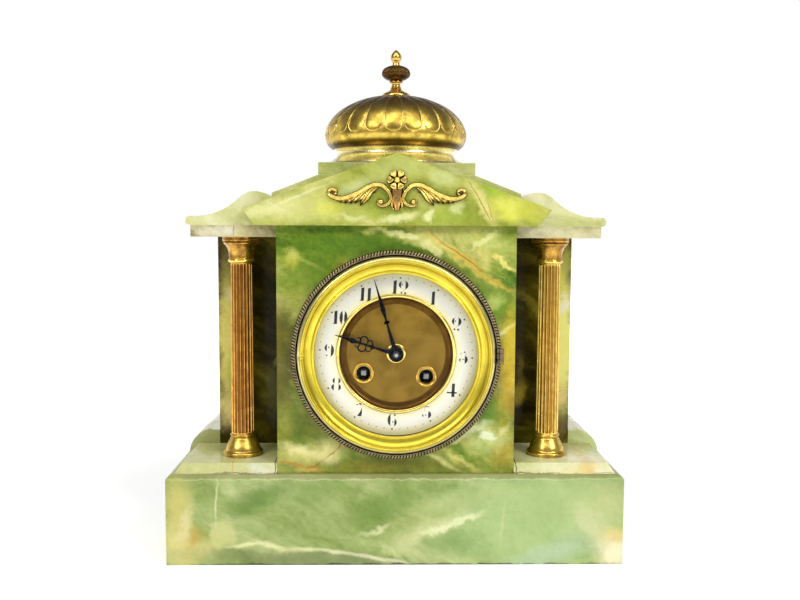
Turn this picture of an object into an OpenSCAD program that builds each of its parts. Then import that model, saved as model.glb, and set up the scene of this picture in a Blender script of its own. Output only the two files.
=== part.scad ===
// Portico mantel clock in green onyx with gilt brass mounts.
// Millimetres. +Z is up, the dial faces -Y, the origin is the middle of the underside.

/* [Base] */
// Overall width
base_w = 320; // [280:1:380]
// Depth, front to back
base_d = 140; // [132:1:170]
// Height of the base
base_h = 64; // [40:1:90]
// Thickness of the base slabs
base_slab_t = 16; // [10:0.5:24]
// Bevel along the top edges
base_bevel = 3; // [1:0.5:6]

/* [Column plinths] */
// Height of the bevelled plinths
plinth_h = 7; // [4:0.5:14]
// Step back from the front of the base
plinth_front = 3; // [3:0.5:6]
// Step in from the ends of the base
plinth_side = 5.5; // [4:0.5:10]
// Width of the plinth's bevel
plinth_bevel = 4.5; // [2:0.5:6]
// Radius of the quarter-round foot blocks
foot_block_r = 17; // [10:0.5:20]

/* [Body] */
// Width of the dial block
block_w = 165.5; // [160:0.5:180]
// Step back of the dial block from the front of the base
block_setback = 5.6; // [4:0.2:10]
// Thickness of the dial panel
panel_t = 18; // [12:0.5:22]
// Step in of the body from the ends of the base
body_side = 26.75; // [25:0.25:32]
// Step back of the wings from the front of the base
body_setback = 65.5; // [60:0.5:74]
// Thickness of the body slabs
wall_t = 14; // [8:0.5:16]
// Step in of the body from the back of the base
rear_inset = 6; // [2:0.5:10]

/* [Entablature] */
// Height of the lintels
lintel_h = 8; // [5:0.5:14]
// Overhang of the lintels at the body's sides
lintel_over = 8.75; // [4:0.25:12]
// Step back of the lintels from the front of the base
lintel_setback = 10; // [8:0.5:14]
// Overhang of the ears at the lintels' ends
ear_over = 3.5; // [1:0.25:6]
// Height of an ear at its outer end
ear_end_h = 6.2; // [4:0.2:8]
// Radius of the ear's crest
ear_crest_r = 14.7; // [11:0.1:16]
// Overhang of the pediment's tips at the roof block's sides
pediment_tip_over = 19.8; // [14:0.2:26]
// Overhang of the pediment's foot at the roof block's sides
pediment_foot_over = 10.6; // [6:0.2:14]
// Height of the tips above the lintels
pediment_tip_h = 11.5; // [8:0.5:16]
// Height of the pediment
pediment_h = 49.4; // [40:0.2:60]
// Overhang of the roof block at the dial block's sides
roof_over = 3.25; // [1:0.25:6]
// Height of the roof block's eaves
roof_eave_h = 22.4; // [16:0.2:28]
// Height of the roof block
roof_h = 35.3; // [30:0.1:44]
// Step of the square plinth outside the dome
dome_plinth_step = 1.9; // [1:0.1:5]
// Height of that plinth
dome_plinth_h = 8.4; // [5:0.2:14]

/* [Dome and finial] */
// Largest radius of the dome
dome_r = 52.6; // [48:0.2:56]
// Rise of the dome above its widest ring
dome_rise = 31; // [24:0.5:40]
// Radius of the roll under the widest ring
dome_roll_r = 10; // [7:0.5:11]
// Wall of the dome
dome_wall = 1.5; // [1:0.1:3]
// Height of the collar under the dome
collar_h = 12.6; // [10:0.2:18]
// Depth of the collar's waist
collar_hollow = 3.3; // [2:0.1:6]
// Height of the finial
finial_h = 34; // [28:0.5:44]
// Radius of the finial's flared foot
finial_foot_r = 10.6; // [9:0.2:14]
// Radius of the finial's knob
finial_knob_r = 11.1; // [8:0.1:14]
// Radius of the finial's bud
finial_bud_r = 4; // [3:0.1:6]

/* [Columns] */
// Height of a column from plinth to lintel
column_h = 158; // [156:1:190]
// Shift of a column inwards from the middle of its bay
column_shift = 1.6; // [0:0.1:3]
// Step back of a column from the front of the base
column_setback = 33; // [30:0.5:40]
// Radius of the fluted shaft
shaft_r = 8.6; // [7:0.1:10]
// Number of flutes
flutes = 20; // [12:1:24]
// Radius of a flute
flute_r = 1.05; // [0.6:0.05:1.2]
// Height of the column foot
foot_h = 16; // [12:0.5:24]
// Radius of the column foot
foot_r = 16; // [13:0.5:18]
// Height of the capital
capital_h = 18.8; // [14:0.2:26]
// Radius of the capital's top plate
capital_r = 13.4; // [11:0.2:15]
// Radius of the tie rods
rod_r = 2.5; // [1.5:0.1:3.5]

/* [Dial and bezel] */
// Height of the dial's middle above the base
dial_up = 84; // [82:0.5:88]
// Turn of the dial and movement in the case, clockwise
dial_tilt = 3; // [0:0.5:5]
// Outer radius of the rope-edged seat
seat_r = 72.5; // [71.5:0.1:75]
// Radius of the rope edge
rope_r = 1.8; // [1.4:0.1:2]
// Lap of the seat over the dial panel, outside the panel's hole
seat_lap = 11.5; // [9:0.1:13]
// Lap of the bezel door over the dial's edge
sight_lap = 1.2; // [0.6:0.1:2]
// Height of the bezel door's crest above the dial panel
crest_w = 11; // [9:0.2:14]
// Rise of the domed glass
glass_rise = 5; // [4:0.2:8]
// Width of the enamel chapter ring
chapter_w = 16; // [13.6:0.1:19]
// Depth of the enamel surface behind the panel's face
dial_depth = -2.8; // [-3.2:0.1:-2]
// Radius of the winding holes
winding_hole_r = 5; // [4:0.1:6]
// Gap from the minute hand's tip to the dial's edge
minute_gap = 3.1; // [2:0.1:9]
// Reach of the hour hand's tip over the chapter ring
hour_lap = 2.9; // [-4:0.1:5]
// Place of the minute hand on the dial, clockwise from twelve
minute_deg = 340.6; // [0:0.1:360]
// Place of the hour hand on the dial, clockwise from twelve
hour_deg = 284.7; // [0:0.1:360]
// Radius of the hands' bosses
hand_boss_r = 6.2; // [4:0.1:6.5]

/* [Movement] */
// Radius of the plates
plate_r = 49; // [48.6:0.1:50.5]
// Thickness of the plates
plate_t = 2.5; // [1.8:0.1:3]
// Half the distance between the winding squares
barrel_x = 22; // [21.8:0.1:23]
// Drop of the winding squares below the middle
barrel_z = 15; // [14:0.1:16]
// Radius of the barrels
barrel_r = 18.4; // [16:0.1:18.6]
// Side of the winding squares
square_s = 3.4; // [3:0.1:3.8]
// Running gap round every pivot
run_gap = 0.05; // [0.03:0.01:0.08]
// Length of the pendulum to the middle of its bob
pendulum_l = 97; // [90:0.5:99]
// Radius of the pendulum bob
bob_r = 14; // [10:0.5:15]
// Radius of the bell
bell_r = 30; // [26:0.5:30.5]

/* [Back] */
// Lap of the rear ring over the rear panel
rear_ring_lap = 4; // [3:0.5:8]
// Thickness of the rear door
rear_door_t = 1.8; // [1.2:0.1:2.4]
// Radius of the rear door's knob
knob_r = 3.5; // [2.5:0.1:5]

/* [Hidden] */
$fn = 64;
eps = 0.01;

body_w = base_w - 2 * body_side;
lintel_w = body_w + 2 * lintel_over;
ear_w = lintel_w + 2 * ear_over;
roof_w = block_w + 2 * roof_over;
pediment_w = roof_w + 2 * pediment_tip_over;
pediment_foot_w = roof_w + 2 * pediment_foot_over;
dome_plinth_w = 2 * (dome_r + dome_plinth_step);
roof_top_w = dome_plinth_w - 3;
column_x = (block_w + lintel_w) / 4 - column_shift;
dial_z = base_h + dial_up;

z_plinth = base_h + plinth_h;
z_lintel = z_plinth + column_h;
z_top = z_lintel + lintel_h;
z_roof = z_top + roof_h;
z_collar = z_roof + dome_plinth_h;
z_dome = z_collar + collar_h;
roll_deg = 67;
z_dome_mid = z_dome + dome_roll_r * sin(roll_deg);
z_dome_top = z_dome_mid + dome_rise;
dome_end_deg = 80;
z_finial = z_dome_mid + dome_rise * sin(dome_end_deg);
collar_top_r = dome_r - dome_roll_r * (1 - cos(roll_deg));
collar_waist_r = collar_top_r - collar_hollow;
collar_foot_r = dome_r;

y_front = -base_d / 2;
y_block = y_front + block_setback;
y_cheek = y_block + panel_t;
y_wing = y_front + body_setback;
y_back = base_d / 2 - rear_inset;
y_rear = y_back - wall_t;
y_lintel = y_front + lintel_setback;
y_col = y_front + column_setback;

// Fits: a rod in a stone's hole, and pieces that pass each other
rod_gap = 0.2;
pass_gap = 0.3;

// Mount on the pediment
mount_half_w = 47.4;
mount_t = 2.4;
rosette_r = 6.6;
rosette_z = 31.4;

// Bezel seat and door, as heights in front of the dial panel
seat_t = 2;
rope_w = 6.2;
sleeve_t = 1.8;
door_r = seat_r - 2 * rope_r - pass_gap;
door_back_w = seat_t + pass_gap;
sleeve_gap = 1;
aperture_r = seat_r - seat_lap;
dial_r = aperture_r - sleeve_t - sleeve_gap - 0.6;
chapter_r = dial_r - chapter_w;
sight_r = dial_r - sight_lap;
rebate_r = sight_r + 1.6;
rebate_w = 4.6;
glass_t = 1.5;
glass_r = rebate_r - 0.1;
knuckle_r = 1.7;
hinge_x = seat_r - 0.3;
hinge_w = rope_w + knuckle_r;
pin_r = 0.8;
knuckle_h = 4.6;
knuckle_gap = 0.2;
end_knuckle_h = 3;

// Dial, in world depth
y_enamel = y_block - dial_depth;
enamel_t = 2;
pan_t = 1.2;
y_pan = y_enamel + enamel_t + 2.4;
rim_t = 2;

// Movement, in world depth
y_plate = y_pan + 9.2;
y_inside = y_plate + plate_t;
plate_gap = 37.5;
y_backplate = y_inside + plate_gap;
y_behind = y_backplate + plate_t;
pivot_r = 0.5;
rear_pivot_r = 0.8;
winding_r = 3;
winding_pivot_r = 2;
stud_r = 1;
shake = 0.2;

// Hands, in world depth
minute_l = dial_r - minute_gap;
hour_l = chapter_r + hour_lap;
hand_t = 0.6;
y_hour = y_enamel - 2.6;
y_minute = y_hour - 1.8;
arbor_r = 1.5;
third_arbor_r = 0.7;
escape_arbor_r = 0.6;
cannon_r = 2.2;
hour_pipe_r = 3.2;

// Teeth: module, counts
m_great = 0.48;
n_great = 84;
n_second_pinion = 14;
n_second = 72;
n_centre_pinion = 12;
m_centre = 0.36;
n_centre = 96;
n_third_pinion = 8;
m_third = 0.32;
n_third = 96;
n_escape_pinion = 8;
n_escape = 40;
escape_r = 8;
anchor_l = 10.5;
m_cannon = 0.5;
n_cannon = 12;
n_minute = 36;
n_minute_pinion = 10;
n_hour = 40;
n_pin_pinion = 12;
m_pin = 0.4;
n_pin = 60;
n_fly_pinion = 8;

// Tooth outlines: height above the pitch circle in modules, half width in pitches
wheel_tooth = [[-1.25, -0.23], [0, -0.21], [1, -0.06], [1, 0.06], [0, 0.21], [-1.25, 0.23]];
pinion_leaf = [[-1.35, -0.18], [0, -0.18], [0.7, -0.07], [0.7, 0.07], [0, 0.18], [-1.35, 0.18]];

function turn(r, a) = [r * cos(a), r * sin(a)];
function reach(n1, n2, m) = (n1 + n2) * m / 2;
function aim(p, q) = atan2(q[1] - p[1], q[0] - p[0]);
function part_of(x) = x - floor(x);

// Where two circles meet, on the left of the line from p to q
function meet(p, rp, q, rq) =
    let (d = norm(q - p), a = (d * d + rp * rp - rq * rq) / (2 * d), h = sqrt(rp * rp - a * a),
        u = (q - p) / d)
    p + a * u + h * [-u[1], u[0]];

// Phase that puts wheel b's gap on wheel a's tooth
function mesh(phase_a, n_a, dir, n_b) =
    dir + 180 + (part_of((dir - phase_a) * n_a / 360) + 0.5) * 360 / n_b;

function teeth(n, m, phase, tooth) = [for (k = [0 : n - 1]) for (e = tooth)
    turn(n * m / 2 + e[0] * m, phase + (k + e[1]) * 360 / n)];

function bezier(a, b, c, d, n) = [for (i = [0 : n]) let (t = i / n, s = 1 - t)
    s * s * s * a + 3 * s * s * t * b + 3 * s * t * t * c + t * t * t * d];

function arc(c, r, a0, a1, n) = [for (i = [0 : n]) c + turn(r, a0 + (a1 - a0) * i / n)];

// Places of the arbors on the plates
p_centre = [0, 0];
p_going = [barrel_x, -barrel_z];
p_strike = [-barrel_x, -barrel_z];
p_second = meet(p_centre, reach(n_second, n_centre_pinion, m_great), p_going,
                   reach(n_great, n_second_pinion, m_great));
p_third = [0, reach(n_centre, n_third_pinion, m_centre)];
p_escape = p_third + [0, reach(n_third, n_escape_pinion, m_third)];
p_anchor = p_escape + [0, anchor_l];
p_pin = p_strike + turn(reach(n_great, n_pin_pinion, m_great), 110);
p_fly = p_pin + turn(reach(n_pin, n_fly_pinion, m_pin), 75);
strap_deg = 25;
strap_in = 5.5;
strap_w = 8;
strap_t = 1.2;
strap_block = 6;
strap_gap = 0.5;
strap_r = aperture_r - strap_in;
hammer_in = 5.1;
hammer_deg = 187.85;
p_hammer = turn(plate_r - hammer_in, hammer_deg);
p_minute = [0, reach(n_cannon, n_minute, m_cannon)];
m_hour = 2 * p_minute[1] / (n_minute_pinion + n_hour);
pillar_r = 3;
pillar_in = 4.6;
pillar_places = [for (a = [54, 126, 254, 286]) turn(plate_r - pillar_in, a)];
tenon_r = 1.5;
dial_foot_in = 5.5;
dial_foot_places = [for (a = [90, 210, 330]) turn(plate_r - dial_foot_in, a)];
rear_hole_r = aperture_r - 3;
rear_ring_r = rear_hole_r + rear_ring_lap;
rear_door_r = strap_r - 4;
screw_r = 1.5;

// Phases of the train, in mesh at rest
ph_centre = 0;
ph_second = mesh(ph_centre, n_centre_pinion, aim(p_centre, p_second), n_second);
ph_great = mesh(ph_second, n_second_pinion, aim(p_second, p_going), n_great);
ph_third = mesh(ph_centre, n_centre, aim(p_centre, p_third), n_third_pinion);
ph_escape = mesh(ph_third, n_third, aim(p_third, p_escape), n_escape_pinion);
ph_minute = mesh(0, n_cannon, aim(p_centre, p_minute), n_minute);
ph_hour = mesh(ph_minute, n_minute_pinion, aim(p_minute, p_centre), n_hour);
ph_strike = mesh(0, n_pin_pinion, aim(p_pin, p_strike), n_great);
ph_fly = mesh(0, n_pin, aim(p_pin, p_fly), n_fly_pinion);

// Depths between the plates, counted back from the front plate
q_barrel = 3;
barrel_l = 18;
q_great = q_barrel + barrel_l;
great_t = 2.5;
q_second = 27;
q_centre = 32;
q_third = 8;
q_escape = 13;
wheel_t = 1.4;

// Colours
onyx = [0.62, 0.7, 0.4];
pale_onyx = [0.78, 0.8, 0.6];
dark_onyx = [0.36, 0.42, 0.18];
gilt = [0.8, 0.62, 0.25];
copper_gilt = [0.72, 0.5, 0.26];
bronze = [0.55, 0.45, 0.25];
enamel = [0.95, 0.94, 0.86];
steel = [0.6, 0.6, 0.62];
blued = [0.06, 0.07, 0.1];

// A profile in X and Z, drawn from one depth to another
module along_y(y0, y1) {
    translate([0, y1, 0]) rotate([90, 0, 0]) linear_extrude(y1 - y0) children();
}

// A profile in Y and Z, drawn from one side to another
module along_x(x0, x1) {
    translate([x0, 0, 0]) rotate([90, 0, 90]) linear_extrude(x1 - x0) children();
}

module slab(x0, x1, y0, y1, z0, z1) {
    translate([x0, y0, z0]) cube([x1 - x0, y1 - y0, z1 - z0]);
}

module both_sides() {
    children();
    mirror([1, 0, 0]) children();
}

// Dial axis: local z runs out of the front, from depth y
module on_dial(y) {
    translate([0, y, dial_z]) rotate([90, 0, 0]) children();
}

// As on_dial, turned with the movement; local depth is minus y
module in_movement() {
    on_dial(0) rotate([0, 0, -dial_tilt]) children();
}

// A round bar of the movement from depth y0 to y1
module bar(p, y0, y1, r) {
    translate([p[0], p[1], -y1]) cylinder(h = y1 - y0, r = r);
}

module tooth_ring(p, y0, y1, n, m, phase, tooth, bore) {
    translate([p[0], p[1], -y1]) linear_extrude(y1 - y0) difference() {
        polygon(teeth(n, m, phase, tooth));
        circle(r = bore, $fn = 12);
    }
}

// Wheel with four straight crossings
module wheel(p, y0, y1, n, m, phase, bore) {
    rim = n * m / 2 - 3 * m - 0.6;
    hub = bore + 2;
    arm = 1;
    translate([p[0], p[1], -y1]) linear_extrude(y1 - y0) difference() {
        polygon(teeth(n, m, phase, wheel_tooth));
        circle(r = bore, $fn = 12);
        for (k = [0 : 3]) {
            rotate(k * 90) polygon([[hub, arm], turn(rim, 10), turn(rim, 45), turn(rim, 80), [arm, hub]]);
        }
    }
}

// An arbor between the plates with its two pivots
module arbor(p, r) {
    bar(p, y_inside + shake, y_backplate - shake, r);
    bar(p, y_plate + shake, y_inside + shake + eps, pivot_r);
    bar(p, y_backplate - shake - eps, y_behind - shake, pivot_r);
}

module base_form() {
    intersection() {
        along_y(y_front, -y_front) polygon([[-base_w / 2, 0], [base_w / 2, 0], [base_w / 2,
            base_h - base_bevel],
            [base_w / 2 - base_bevel, base_h], [base_bevel - base_w / 2, base_h], [-base_w / 2,
                base_h - base_bevel]]);
        along_x(-base_w / 2, base_w / 2) polygon([[y_front, 0], [-y_front, 0], [-y_front,
            base_h - base_bevel],
            [-y_front - base_bevel, base_h], [y_front + base_bevel, base_h], [y_front,
                base_h - base_bevel]]);
    }
}

// Four onyx slabs round the core of the base
module base_slabs() {
    inner_x = base_w / 2 - base_slab_t;
    inner_y = base_d / 2 - base_slab_t;
    color(onyx) {
        intersection() {
            base_form();
            slab(-base_w, base_w, y_front, -inner_y, 0, base_h);
        }
        intersection() {
            base_form();
            slab(-base_w, base_w, inner_y, -y_front, 0, base_h);
        }
        both_sides() intersection() {
            base_form();
            slab(inner_x, base_w, -inner_y, inner_y, 0, base_h);
        }
    }
}

// Stone core, with wells for the nuts of the column rods
module base_core() {
    nut_well_r = 4 * rod_r;
    inner_x = base_w / 2 - base_slab_t;
    inner_y = base_d / 2 - base_slab_t;
    color(pale_onyx) difference() {
        slab(-inner_x, inner_x, -inner_y, inner_y, 0, base_h);
        both_sides() translate([column_x, y_col, -eps]) {
            cylinder(h = base_h + 1, r = rod_r + rod_gap);
            cylinder(h = base_h * 0.6, r = nut_well_r);
        }
    }
}

// Bevelled plinths that carry the columns
module plinths() {
    x_in = block_w / 2;
    x_out = base_w / 2 - plinth_side;
    y_out = y_front + plinth_front;
    color(onyx) both_sides() difference() {
        intersection() {
            along_y(y_out, y_wing) polygon([[x_in, base_h], [x_out, base_h], [x_out - plinth_bevel,
                z_plinth],
                [x_in, z_plinth]]);
            along_x(0, base_w) polygon([[y_out, base_h], [y_wing, base_h], [y_wing, z_plinth],
                [y_out + plinth_bevel, z_plinth]]);
        }
        translate([column_x, y_col, 0]) cylinder(h = z_plinth + 1, r = rod_r + rod_gap);
    }
}

// Quarter-round blocks at the foot of the body's sides
module foot_blocks() {
    x_out = base_w / 2 - base_bevel - 0.5;
    color(onyx) both_sides() along_y(y_wing, y_back) {
        translate([x_out - foot_block_r, base_h]) intersection() {
            circle(r = foot_block_r);
            square(foot_block_r);
        }
        translate([body_w / 2, base_h]) square([x_out - foot_block_r - body_w / 2 + eps, foot_block_r]);
    }
}

module dial_panel() {
    color(onyx) difference() {
        slab(-block_w / 2, block_w / 2, y_block, y_cheek, base_h, z_top);
        on_dial(y_cheek + 1) cylinder(h = panel_t + 2, r = aperture_r);
    }
}

// Inner slabs of the movement's chamber and outer slabs of the body
module side_slabs() {
    color(dark_onyx) both_sides() {
        slab(block_w / 2 - wall_t, block_w / 2, y_cheek, y_rear, base_h, z_top);
        slab(body_w / 2 - wall_t, body_w / 2, y_wing + wall_t, y_rear, base_h, z_lintel);
    }
}

// Panels behind the columns
module wing_panels() {
    color(dark_onyx) both_sides() slab(block_w / 2, body_w / 2, y_wing, y_wing + wall_t, base_h,
        z_lintel);
}

module rear_panel() {
    color(dark_onyx) difference() {
        union() {
            slab(-body_w / 2, body_w / 2, y_rear, y_back, base_h, z_lintel);
            slab(-block_w / 2, block_w / 2, y_rear, y_back, z_lintel - 1, z_top);
        }
        on_dial(y_back + 1) cylinder(h = wall_t + 2, r = rear_hole_r);
    }
}

module lintels() {
    color(pale_onyx) both_sides() difference() {
        slab(block_w / 2, lintel_w / 2, y_lintel, y_back, z_lintel, z_top);
        translate([column_x, y_col, z_lintel - 1]) cylinder(h = lintel_h / 2 + 1, r = rod_r + rod_gap);
    }
}

// Wave-shaped blocks on the lintels
module ears() {
    crest_x = roof_w / 2 + ear_crest_r - 3;
    lean = 45;
    join_x = crest_x + ear_crest_r * sin(lean);
    sweep_x = ear_w / 2 - ear_end_h;
    sweep_r = (sweep_x - join_x) / sin(lean);
    join_z = ear_end_h + sweep_r * (1 - cos(lean));
    color(pale_onyx) both_sides() along_y(y_lintel, y_back) translate([0, z_top]) {
        difference() {
            translate([roof_w / 2, 0]) square([sweep_x - roof_w / 2, join_z]);
            translate([sweep_x, ear_end_h + sweep_r]) circle(r = sweep_r);
            translate([roof_w / 2 - 1,
                join_z - ear_crest_r * cos(lean)]) square([crest_x - roof_w / 2 + 1, join_z]);
        }
        intersection() {
            translate([crest_x, join_z - ear_crest_r * cos(lean)]) circle(r = ear_crest_r);
            translate([roof_w / 2, 0]) square(4 * ear_crest_r);
        }
        translate([sweep_x - 1, 0]) square([ear_w / 2 - ear_end_h / 2 - sweep_x + 1, ear_end_h]);
        translate([ear_w / 2 - ear_end_h / 2, ear_end_h / 2]) circle(r = ear_end_h / 2);
    }
}

module pediment() {
    color(onyx) along_y(y_front, y_lintel) translate([0, z_top]) polygon([[-pediment_foot_w / 2, 0],
        [pediment_foot_w / 2, 0], [pediment_w / 2, pediment_tip_h], [0, pediment_h],
        [-pediment_w / 2, pediment_tip_h]]);
}

module roof_block() {
    color(pale_onyx) difference() {
        along_y(y_lintel, y_back) translate([0, z_top]) polygon([[-roof_w / 2, 0], [roof_w / 2, 0],
            [roof_w / 2, roof_eave_h], [roof_top_w / 2, roof_h], [-roof_top_w / 2, roof_h],
            [-roof_w / 2, roof_eave_h]]);
        translate([0, 0, z_top - 1]) cylinder(h = roof_h + 2, r = rod_r + rod_gap);
    }
}

module dome_plinth() {
    half = dome_plinth_w / 2;
    color(onyx) difference() {
        slab(-half, half, -half, half, z_roof, z_collar);
        translate([0, 0, z_roof - 1]) cylinder(h = dome_plinth_h + 2, r = rod_r + rod_gap);
    }
}

// Polished hollow collar between plinth and dome
module dome_collar() {
    top_r = collar_top_r;
    inner_r = collar_waist_r - 4;
    waist_h = collar_h * 0.78;
    sweep = bezier([collar_foot_r, collar_h * 0.2], [collar_foot_r - 3, collar_h * 0.45],
        [collar_waist_r, collar_h * 0.62], [collar_waist_r, waist_h], 10);
    lip = bezier([collar_waist_r, waist_h], [collar_waist_r, collar_h * 0.9], [top_r, collar_h * 0.9],
        [top_r, collar_h], 6);
    color(gilt) translate([0, 0, z_collar]) rotate_extrude()
        polygon(concat([[inner_r, 0], [collar_foot_r, 0]], sweep, lip, [[inner_r, collar_h]]));
}

module dome() {
    end = dome_end_deg;
    wall = dome_wall;
    roll_c = [dome_r - dome_roll_r, z_dome_mid];
    outer = concat(arc(roll_c, dome_roll_r, -roll_deg, 0, 8),
        [for (i = [1 : 20]) let (a = end * i / 20) [dome_r * cos(a), z_dome_mid + dome_rise * sin(a)]]);
    inner = concat([for (i = [0 : 16]) let (a = end * (16 - i) / 16)
        [(dome_r - wall) * cos(a), z_dome_mid + (dome_rise - wall) * sin(a)]],
        arc(roll_c, dome_roll_r - wall, -6, -roll_deg, 6));
    seam = 0.6;
    color(gilt) rotate_extrude() polygon(concat([[roll_c[0], z_dome], [collar_top_r, z_dome]],
        [for (p = outer) if (p[1] > z_dome + seam) p],
        [[rod_r + rod_gap, z_finial], [rod_r + rod_gap, z_finial - 2 * wall]],
        [for (p = inner) if (p[1] > z_dome + seam) p]));
}

// Turned finial: flared foot, stem, knob and bud
module finial() {
    h = finial_h + z_dome_top - z_finial;
    neck_r = finial_bud_r * 0.66;
    foot = bezier([finial_foot_r, 0.03 * h], [finial_foot_r * 0.6, 0.08 * h], [neck_r * 1.3,
        0.1 * h], [neck_r * 1.3, 0.16 * h], 8);
    cup = bezier([neck_r * 1.25, 0.26 * h], [neck_r * 2.4, 0.26 * h], [neck_r * 2, 0.31 * h],
        [neck_r * 1.6, 0.33 * h], 6);
    under = bezier([neck_r * 1.6, 0.33 * h], [finial_knob_r * 0.8, 0.34 * h], [finial_knob_r,
        0.4 * h], [finial_knob_r, 0.47 * h], 8);
    over = bezier([finial_knob_r, 0.47 * h], [finial_knob_r, 0.57 * h], [finial_knob_r * 0.7,
        0.64 * h], [neck_r * 1.2, 0.66 * h], 8);
    bud = bezier([neck_r, 0.74 * h], [finial_bud_r * 1.3, 0.77 * h], [finial_bud_r * 1.2, 0.9 * h],
        [0, h], 10);
    color(gilt) translate([0, 0, z_finial]) difference() {
        rotate_extrude() polygon(concat([[0, 0], [finial_foot_r, 0]], foot, cup, under, over, bud));
        translate([0, 0, -1]) cylinder(h = 0.3 * h + 1, r = rod_r * 0.6 + rod_gap);
    }
}

// Threaded rods with nuts: one through the dome, one through each column
module tie_rods() {
    nut_h = 2 * rod_r;
    color(steel) {
        translate([0, 0, z_top - nut_h]) cylinder(h = nut_h, r = 2 * rod_r, $fn = 6);
        translate([0, 0, z_top - nut_h - 2]) cylinder(h = z_finial - z_top + nut_h + 1, r = rod_r);
        translate([0, 0, z_finial - 2]) cylinder(h = 2 + 0.28 * finial_h, r = rod_r * 0.6);
        both_sides() translate([column_x, y_col, 0]) {
            translate([0, 0, base_h * 0.6 - nut_h]) cylinder(h = nut_h, r = 2 * rod_r, $fn = 6);
            translate([0, 0, base_h * 0.6 - nut_h - 2]) cylinder(h = z_lintel - base_h * 0.6 + nut_h
                + 5, r = rod_r);
        }
    }
}

// Leaf scrolls and rosette pinned to the pediment
module pediment_mount() {
    wing = [[3.2, 22], [6, 26.5], [10, 28.4], [14.4, 28.8], [20, 27], [25.2, 22.8], [33, 20], [39, 20.5],
        [41.8, 22.2], [42, 24], [43.5, 25.4], [46, 25], [47.4, 22.6], [46.6, 19.8], [44.5, 18], [40, 16.4],
        [33, 15.2], [30, 14.2], [26, 13.4], [24.5, 15.5], [22.5, 20], [18.5, 23.6], [14.4, 24.6], [11, 23.5],
        [8.8, 20.5], [8.4, 17.8], [9.6, 16.4], [11.2, 17.4], [13, 16.2], [12.8, 13.8], [10, 12.2], [7, 13.2],
        [4.6, 16]];
    stem = [[-4.5, 25], [-3.6, 17], [-2, 11.6], [0, 10.6], [2, 11.6], [3.6, 17], [4.5, 25]];
    grow = mount_half_w / max([for (p = wing) p[0]]);
    color(gilt) translate([0, 0, z_top]) {
        along_y(y_front - mount_t, y_front) {
            polygon(grow * wing);
            mirror([1, 0]) polygon(grow * wing);
            polygon(grow * stem);
            translate([0, rosette_z]) circle(r = rosette_r);
        }
        along_y(y_front - 2 * mount_t, y_front - mount_t) translate([0, rosette_z])
            circle(r = rosette_r * 0.6);
    }
}

module column_foot() {
    bead_r = shaft_r + 1.2;
    disc_h = foot_h * 0.24;
    bell = bezier([foot_r - 0.6, disc_h], [foot_r * 0.72, disc_h + 1], [bead_r, foot_h * 0.55],
        [bead_r - 1.4, foot_h * 0.78], 10);
    color(gilt) translate([0, 0, z_plinth]) difference() {
        rotate_extrude() polygon(concat([[0, 0], [foot_r - 0.8, 0]],
            arc([foot_r - disc_h / 2, disc_h / 2], disc_h / 2, -80, 80, 6), bell,
            arc([bead_r - foot_h * 0.11, foot_h * 0.89], foot_h * 0.11, -80, 80, 6), [[0, foot_h]]));
        translate([0, 0, -1]) cylinder(h = foot_h + 2, r = rod_r + rod_gap);
    }
}

module column_shaft() {
    h = column_h - foot_h - capital_h;
    color(copper_gilt) translate([0, 0, z_plinth + foot_h]) difference() {
        cylinder(h = h, r = shaft_r);
        for (k = [0 : flutes - 1]) {
            translate(concat(turn(shaft_r + 0.3 * flute_r, k * 360 / flutes),
                -1)) cylinder(h = h + 2, r = flute_r);
        }
        translate([0, 0, -1]) cylinder(h = h + 2, r = rod_r + rod_gap);
    }
}

module column_capital() {
    h = capital_h;
    neck_r = shaft_r + 1;
    plate_h = h * 0.22;
    bell = bezier([neck_r - 1, h * 0.24], [neck_r - 1.2, h * 0.5], [neck_r, h * 0.66],
        [capital_r - 0.8, h - plate_h], 10);
    color(gilt) translate([0, 0, z_lintel - h]) difference() {
        rotate_extrude() polygon(concat([[0, 0]], arc([neck_r - h * 0.1, h * 0.1], h * 0.1, -80, 80,
            6), bell,
            [[capital_r, h - plate_h * 0.8], [capital_r, h], [0, h]]));
        translate([0, 0, -1]) cylinder(h = h + 2, r = rod_r + rod_gap);
    }
}

module at_left_column() {
    translate([-column_x, y_col, 0]) children();
}

module at_right_column() {
    translate([column_x, y_col, 0]) children();
}

module left_column_foot() {
    at_left_column() column_foot();
}

module left_column_shaft() {
    at_left_column() column_shaft();
}

module left_column_capital() {
    at_left_column() column_capital();
}

module right_column_foot() {
    at_right_column() column_foot();
}

module right_column_shaft() {
    at_right_column() column_shaft();
}

module right_column_capital() {
    at_right_column() column_capital();
}

// One leaf of a hinge on the vertical line x, w: knuckles from z0 to z1 and an arm to the ring
module hinge_leaf(x, w, z0, z1, arm_x0, arm_w0, arm_w1) {
    translate([x, -w, z0]) cylinder(h = z1 - z0, r = knuckle_r);
    slab(arm_x0, x, -arm_w1, -arm_w0, z0, z1);
}

module pin_hole(x, w) {
    translate([x, -w, -20]) cylinder(h = 40, r = pin_r + run_gap);
}

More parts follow.
